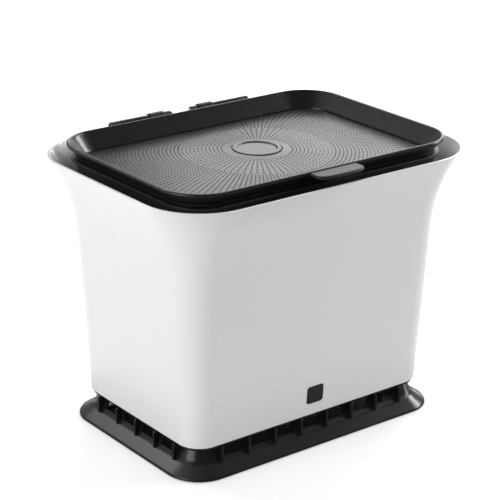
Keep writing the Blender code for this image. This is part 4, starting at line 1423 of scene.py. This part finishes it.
@dataclass(frozen=True)
class VentPanel:
    """The lid's crowned panel: fine holes in rings round a plain medallion, and hooks below."""

    tray: LidTray
    crown: float = 0.0048
    crown_power: float = 4.0
    hole: float = 0.00088
    hole_sides: int = 6
    ring_start: float = 0.0293
    ring_step: float = 0.0032
    rows: int = 72
    doubling: float = 0.0640
    margin: float = 0.0022
    brim: Span = (0.0007, 0.0004)
    sinking: tuple[Span, ...] = ((0.0208, 0.0006), (0.0213, -0.0004), (0.0274, 0.0))
    medallion: float = 0.0203
    medallion_centre: float = 0.002
    medallion_rise: float = 0.0009
    medallion_sides: int = 96
    dish: Span = (0.0160, 0.0009)
    fill_rings: tuple[float, ...] = (0.008, 0.018, 0.0208, 0.0213, 0.023, 0.0252, 0.0274)
    hook_spacing: float = 0.0600
    hook_width: float = 0.0100
    hook_thickness: float = 0.0014
    hook_nose: Span = (0.0006, 0.0014)

    def rim(self) -> RimOutline:
        """The bucket's rim."""
        return self.tray.holder.bucket.rim

    def edge(self) -> float:
        """Inset of the panel's edge."""
        return self.tray.pan() + self.tray.wall + GAP

    def heights(self, flat: np.ndarray) -> np.ndarray:
        """Heights of the panel's top.

        The crown falls off as the square of a distance that is 1 on the edge: the power mean of the
        two shares of the half sizes. Inwards to the medallion the top rises further in a shallow
        cone, and then drops into a moat round it.

        Args:
            flat: rows of X and Y.

        Returns:
            A height for each.
        """
        half = np.array([self.rim().half_length, self.rim().half_depth]) - self.edge()
        share = (np.abs(flat / half) ** self.crown_power).sum(axis=-1) ** (2 / self.crown_power)
        sunk = np.interp(np.hypot(*flat.T), *np.transpose(self.sinking))
        return self.tray.panel_edge() + self.crown * (1 - np.minimum(share, 1.0)) - sunk

    def hole_centres(self) -> np.ndarray:
        """Centres of the holes: even turns on rings, inside the margin.

        There are twice as many on each ring from the doubling on.

        Returns:
            Rows of X and Y.
        """
        rim = self.rim()
        inset = self.edge() + self.margin
        radius = max(rim.corner - inset, rim.least_corner)
        reach = np.array([rim.half_length, rim.half_depth]) - inset - radius
        rings = np.arange(self.ring_start, rim.half_length, self.ring_step)
        centres = np.vstack([
            ring * circle(self.rows if ring < self.doubling else 2 * self.rows, 0.5)
            for ring in rings
        ])
        over = np.maximum(np.abs(centres) - reach, 0)
        return centres[np.hypot(*over.T) < radius]

    def plate(self) -> Surface:
        """The perforated plate.

        A flat triangulation joins the outline, the holes and rings of inner points, and its
        triangles with all their corners on one hole are left out. The top takes its heights from
        the crown and drops at the brim, the underside lies a thickness below, and a wall joins them
        along the outline and round each hole.

        Returns:
            The closed surface.
        """
        outline, brim = (self.rim().level(self.edge() + inset) for inset in (0.0, self.brim[0]))
        corners = self.hole_centres()[:, None] + self.hole * circle(self.hole_sides)
        fill = np.array(self.fill_rings)[:, None, None] * circle(self.rows, 0.5)
        flat = np.vstack([outline, corners.reshape(-1, 2), fill.reshape(-1, 2), brim])

        edge = np.arange(len(outline))
        holes = len(outline) + np.arange(corners[..., 0].size).reshape(-1, self.hole_sides)
        walls = np.vstack([
            np.stack([loop, np.roll(loop, -1, axis=-1)], axis=-1).reshape(-1, 2)
            for loop in (edge, holes)
        ])
        points = [Vector(point) for point in flat.tolist()]
        triangles = np.array(delaunay_2d_cdt(points, walls.tolist(), [], 1, SAME_PLACE)[2])
        hole_of = np.full(len(flat), -1)
        hole_of[holes] = np.arange(len(holes))[:, None]
        least, most = hole_of[triangles].min(axis=1), hole_of[triangles].max(axis=1)
        triangles = triangles[(least < 0) | (least < most)]

        top = np.column_stack([flat, self.heights(flat)])
        top[edge, 2] -= self.brim[1]
        under = len(top)
        sides = np.column_stack([walls, walls[:, ::-1] + under])
        faces = triangles.tolist() + (triangles[:, ::-1] + under).tolist() + sides.tolist()
        return Surface(np.vstack([top, top - (0, 0, self.tray.panel_thickness)]), faces)

    def disc(self) -> Surface:
        """The medallion: a smooth boss in the moat, with a rounded edge and a shallow dish."""
        top = self.tray.panel_edge() + self.crown
        rise, low = top + self.medallion_rise, top - self.tray.panel_thickness
        dish, depth = self.dish
        return turned([
            (self.medallion_centre, low, 0.0),
            (self.medallion, low, 0.0),
            (self.medallion, rise, 0.0004),
            (dish + depth, rise, 0.0004),
            (dish, rise - depth, 0.0004),
            (self.medallion_centre, rise - depth, 0.0),
        ], self.medallion_sides, (0.0, 0.0, 0.0))

    def hooks(self) -> Surface:
        """Hooks under the panel that grip the tray's ledge."""
        tray = self.tray
        ledge_edge = tray.pan() + tray.wall + tray.ledge_width
        leg, top = ledge_edge + GAP, tray.panel_edge() - tray.panel_thickness / 2
        nose = tray.ledge_top() - tray.ledge_thickness - GAP
        reach, depth = self.hook_nose
        back = leg + self.hook_thickness
        section = np.array([
            (leg, top), (leg, nose), (ledge_edge - reach, nose),
            (leg, nose - depth), (back, nose - depth), (back, top),
        ])
        rows = ((-self.hook_spacing, self.hook_spacing), ())
        return self.rim().round_the_sides(rows, section, self.hook_width, 0.0)

    def build(self) -> None:
        """Make the plate, its medallion and its hooks."""
        fit("perforated_plate", self.plate(), Body.LID, PANEL_SATIN, "vent_panel")
        fit("medallion_disc", self.disc(), Body.LID, PANEL_SATIN)
        fit("panel_hooks", self.hooks(), Body.LID, PANEL_SATIN)


# Camera, lamps and floor


@dataclass(frozen=True)
class Lamp:
    """A soft box: its place, the height on the bin's axis that it points at, its size and watts."""

    name: str
    place: Place
    aim: float
    size: Span
    power: float

    def hang(self) -> None:
        """Add the lamp to the scene."""
        data = bpy.data.lights.new(self.name, "AREA")
        data.shape, data.size, data.size_y, data.energy = "RECTANGLE", *self.size, self.power
        light = placed(self.name, data)
        light.location = self.place
        way = Vector((0, 0, self.aim)) - Vector(self.place)
        light.rotation_euler = way.to_track_quat("-Z", "Y").to_euler()


LAMPS = (
    Lamp("key", (-1.75, -0.18, 0.55), 0.1, (1.3, 1.0), 11.9),
    Lamp("back_box", (1.50, 1.15, 1.10), 0.2, (1.55, 0.85), 13.0),
    Lamp("upper_back", (-0.48, 2.74, 2.95), 0.1, (1.1, 1.1), 28.0),
    Lamp("right_strip", (1.42, 1.03, 0.26), 0.1, (0.85, 0.5), 4.0),
    Lamp("right_edge", (1.7, -0.7, 0.7), 0.1, (0.5, 1.2), 12.5),
    Lamp("corner_glint", (2.14, -0.1, 1.38), 0.1, (0.4, 0.4), 12.0),
)


@dataclass(frozen=True)
class Patch:
    """A rectangle on the floor round the middle, and the distance over which its edge fades."""

    half_sizes: Span
    fade: float

    def beyond(self, tree: Tree) -> Socket:
        """How far a place on the floor lies outside the patch, from 0 to 1 over the fade."""
        x, y = (
            abs(tree.part(tree.place(), axis)).above(half, half + self.fade)
            for axis, half in enumerate(self.half_sizes)
        )
        return (x + y).clamped()


@dataclass(frozen=True)
class Studio:
    """The camera, soft lamps, and a pale floor before a white background."""

    eye: Place = (-0.86014, -1.09666, 0.67109)
    aim: Place = (69.26900, -0.63500, -37.67439)
    lens: float = 128.54
    sensor: float = 36.0
    far_clip: float = 50.0
    lamps: tuple[Lamp, ...] = LAMPS
    ambient: float = 0.485
    room_tint: Colour = (0.95, 0.98, 1.0)
    dim_side: Place = (0.2, -0.95, 0.1)
    dim_ramp: Span = (-0.3, 0.2)
    # also how dark the floor's painted shade in mirrors goes
    dim_share: float = 0.8
    shade_share: float = 0.1
    horizon: float = 0.45
    zenith: float = 0.7
    sky_ramp: Span = (0.58, 0.7)
    floor_half: float = 6.0
    floor_drop: float = 0.0003
    floor_colour: Colour = (0.82, 0.82, 0.82)
    floor_clouds: float = 0.01
    floor_cloud_scale: float = 3.0
    floor_roughness: float = 0.6
    floor_specular: float = 0.2
    floor_lift: float = 0.37
    # painted shade in reflections: to mirrors the floor's colour darkens towards the camera's side
    # over this ramp, and within a patch round the bin
    mirror_shade_ramp: Span = (-0.1, 0.3)
    # painted shade: how far the floor's colour goes to black under the base
    painted_under_shade: float = 0.8
    footprint: Patch = Patch((0.115, 0.073), 0.01)
    mirror_shade_patch: Patch = Patch((0.15, 0.11), 0.05)
    lift_patch: Patch = Patch((0.6, 0.6), 1.0)

    def set_camera(self) -> None:
        """Place the camera at the photograph's viewing angle."""
        data = bpy.data.cameras.new("camera")
        data.lens, data.sensor_width, data.clip_end = self.lens, self.sensor, self.far_clip
        camera = placed("camera", data)
        camera.location = self.eye
        camera.rotation_euler = [math.radians(turn) for turn in self.aim]
        bpy.context.scene.camera = camera

    @staticmethod
    def seen(tree: Tree) -> tuple[Socket, Socket]:
        """Whether a ray comes from the camera, and whether it comes from a mirror or glass."""
        kinds = ("Camera", "Glossy", "Transmission")
        camera, glossy, glass = (
            tree.add("ShaderNodeLightPath", output=f"Is {kind} Ray") for kind in kinds
        )
        return camera, (glossy + glass).clamped()

    def set_world(self) -> None:
        """White to the camera; to light and mirrors dimmer, most of all on the camera's side."""
        world = bpy.data.worlds.new("studio")
        bpy.context.scene.world = world
        tree = Tree(world)
        camera, mirrored = self.seen(tree)
        way = tree.place("Generated")
        side = tree.along(way, self.dim_side).above(*self.dim_ramp)
        shade = mirrored * (self.dim_share - self.shade_share) + self.shade_share
        height = tree.part(way, 2).above(*self.sky_ramp)
        sky = height * (self.zenith - self.horizon) + self.horizon
        lit = (mirrored * (sky - self.ambient) + self.ambient) * (1 - side * shade)
        inputs = {
            "Color": tree.blend(camera, self.room_tint, WHITE),
            "Strength": camera + (1 - camera) * lit,
        }
        background = tree.add("ShaderNodeBackground", None, inputs)
        tree.add("ShaderNodeOutputWorld", None, {"Surface": background})

    def floor_material(self) -> bpy.types.Material:
        """A pale material that keeps the shadow.

        It glows to white where the camera sees it, but not under the base, where its colour is
        painted dark as painted shade; to mirrors its colour is painted darker near the bin and on
        the camera's side, a painted shade in reflections.

        Returns:
            The material.
        """
        material = bpy.data.materials.new("pale_floor")
        tree = Tree(material)
        camera, mirrored = self.seen(tree)
        outside, far = self.footprint.beyond(tree), self.mirror_shade_patch.beyond(tree)
        # painted shade in reflections: mirrors see the floor's colour darker near the bin and on
        # the camera's side
        mirror_shade_reach = tree.along(tree.place(), self.dim_side).above(*self.mirror_shade_ramp) + 1 - far
        painted_mirror_shade = mirrored * mirror_shade_reach.clamped() * self.dim_share
        lift = self.lift_patch.beyond(tree) * (1 - self.floor_lift) + self.floor_lift
        dark, light = (scaled(self.floor_colour, 1 + side * self.floor_clouds) for side in SIDES)
        pale = tree.blend(tree.noise(self.floor_cloud_scale), dark, light)
        # painted shade: the floor's colour goes to black under the base, and to mirrors near the
        # bin and on the camera's side
        painted_floor_shade = (painted_mirror_shade + (1 - outside) * self.painted_under_shade).clamped()
        glow = outside * (camera * lift + mirrored * (1 - painted_mirror_shade) * self.floor_lift)
        tree.shader(
            Base_Color=tree.blend(painted_floor_shade, pale, BLACK),
            Roughness=self.floor_roughness,
            Specular_IOR_Level=self.floor_specular,
            Emission_Color=tree.blend(glow, BLACK, WHITE),
            Emission_Strength=1.0,
        )
        return material

    def lay_floor(self) -> None:
        """Lay a square floor just under the pads."""
        half, low = self.floor_half, -self.floor_drop
        corners = [(-half, -half, low), (half, -half, low), (half, half, low), (-half, half, low)]
        mesh = bpy.data.meshes.new("floor")
        mesh.from_pydata(corners, [], [(0, 1, 2, 3)])
        mesh.materials.append(self.floor_material())
        placed("floor", mesh)

    def build(self) -> None:
        """Set the whole studio up."""
        bpy.context.scene.view_settings.view_transform = "Standard"
        self.set_camera()
        self.set_world()
        self.lay_floor()
        for lamp in self.lamps:
            lamp.hang()


def main() -> None:
    """Dress the bin, sub-assembly by sub-assembly, and set up the studio."""
    logging.basicConfig(level=logging.INFO, format="%(message)s")
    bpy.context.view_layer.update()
    bucket = Bucket(RimOutline.of_frame())
    holder = MouthFrame(bucket, Hinge())
    tray = LidTray(holder)
    assemblies = (bucket, Plinth(bucket), holder, BagRing(holder), tray, VentPanel(tray))
    for assembly in (*assemblies, Studio()):
        log.info("building %s", type(assembly).__name__)
        assembly.build()


if __name__ == "__main__":
    main()
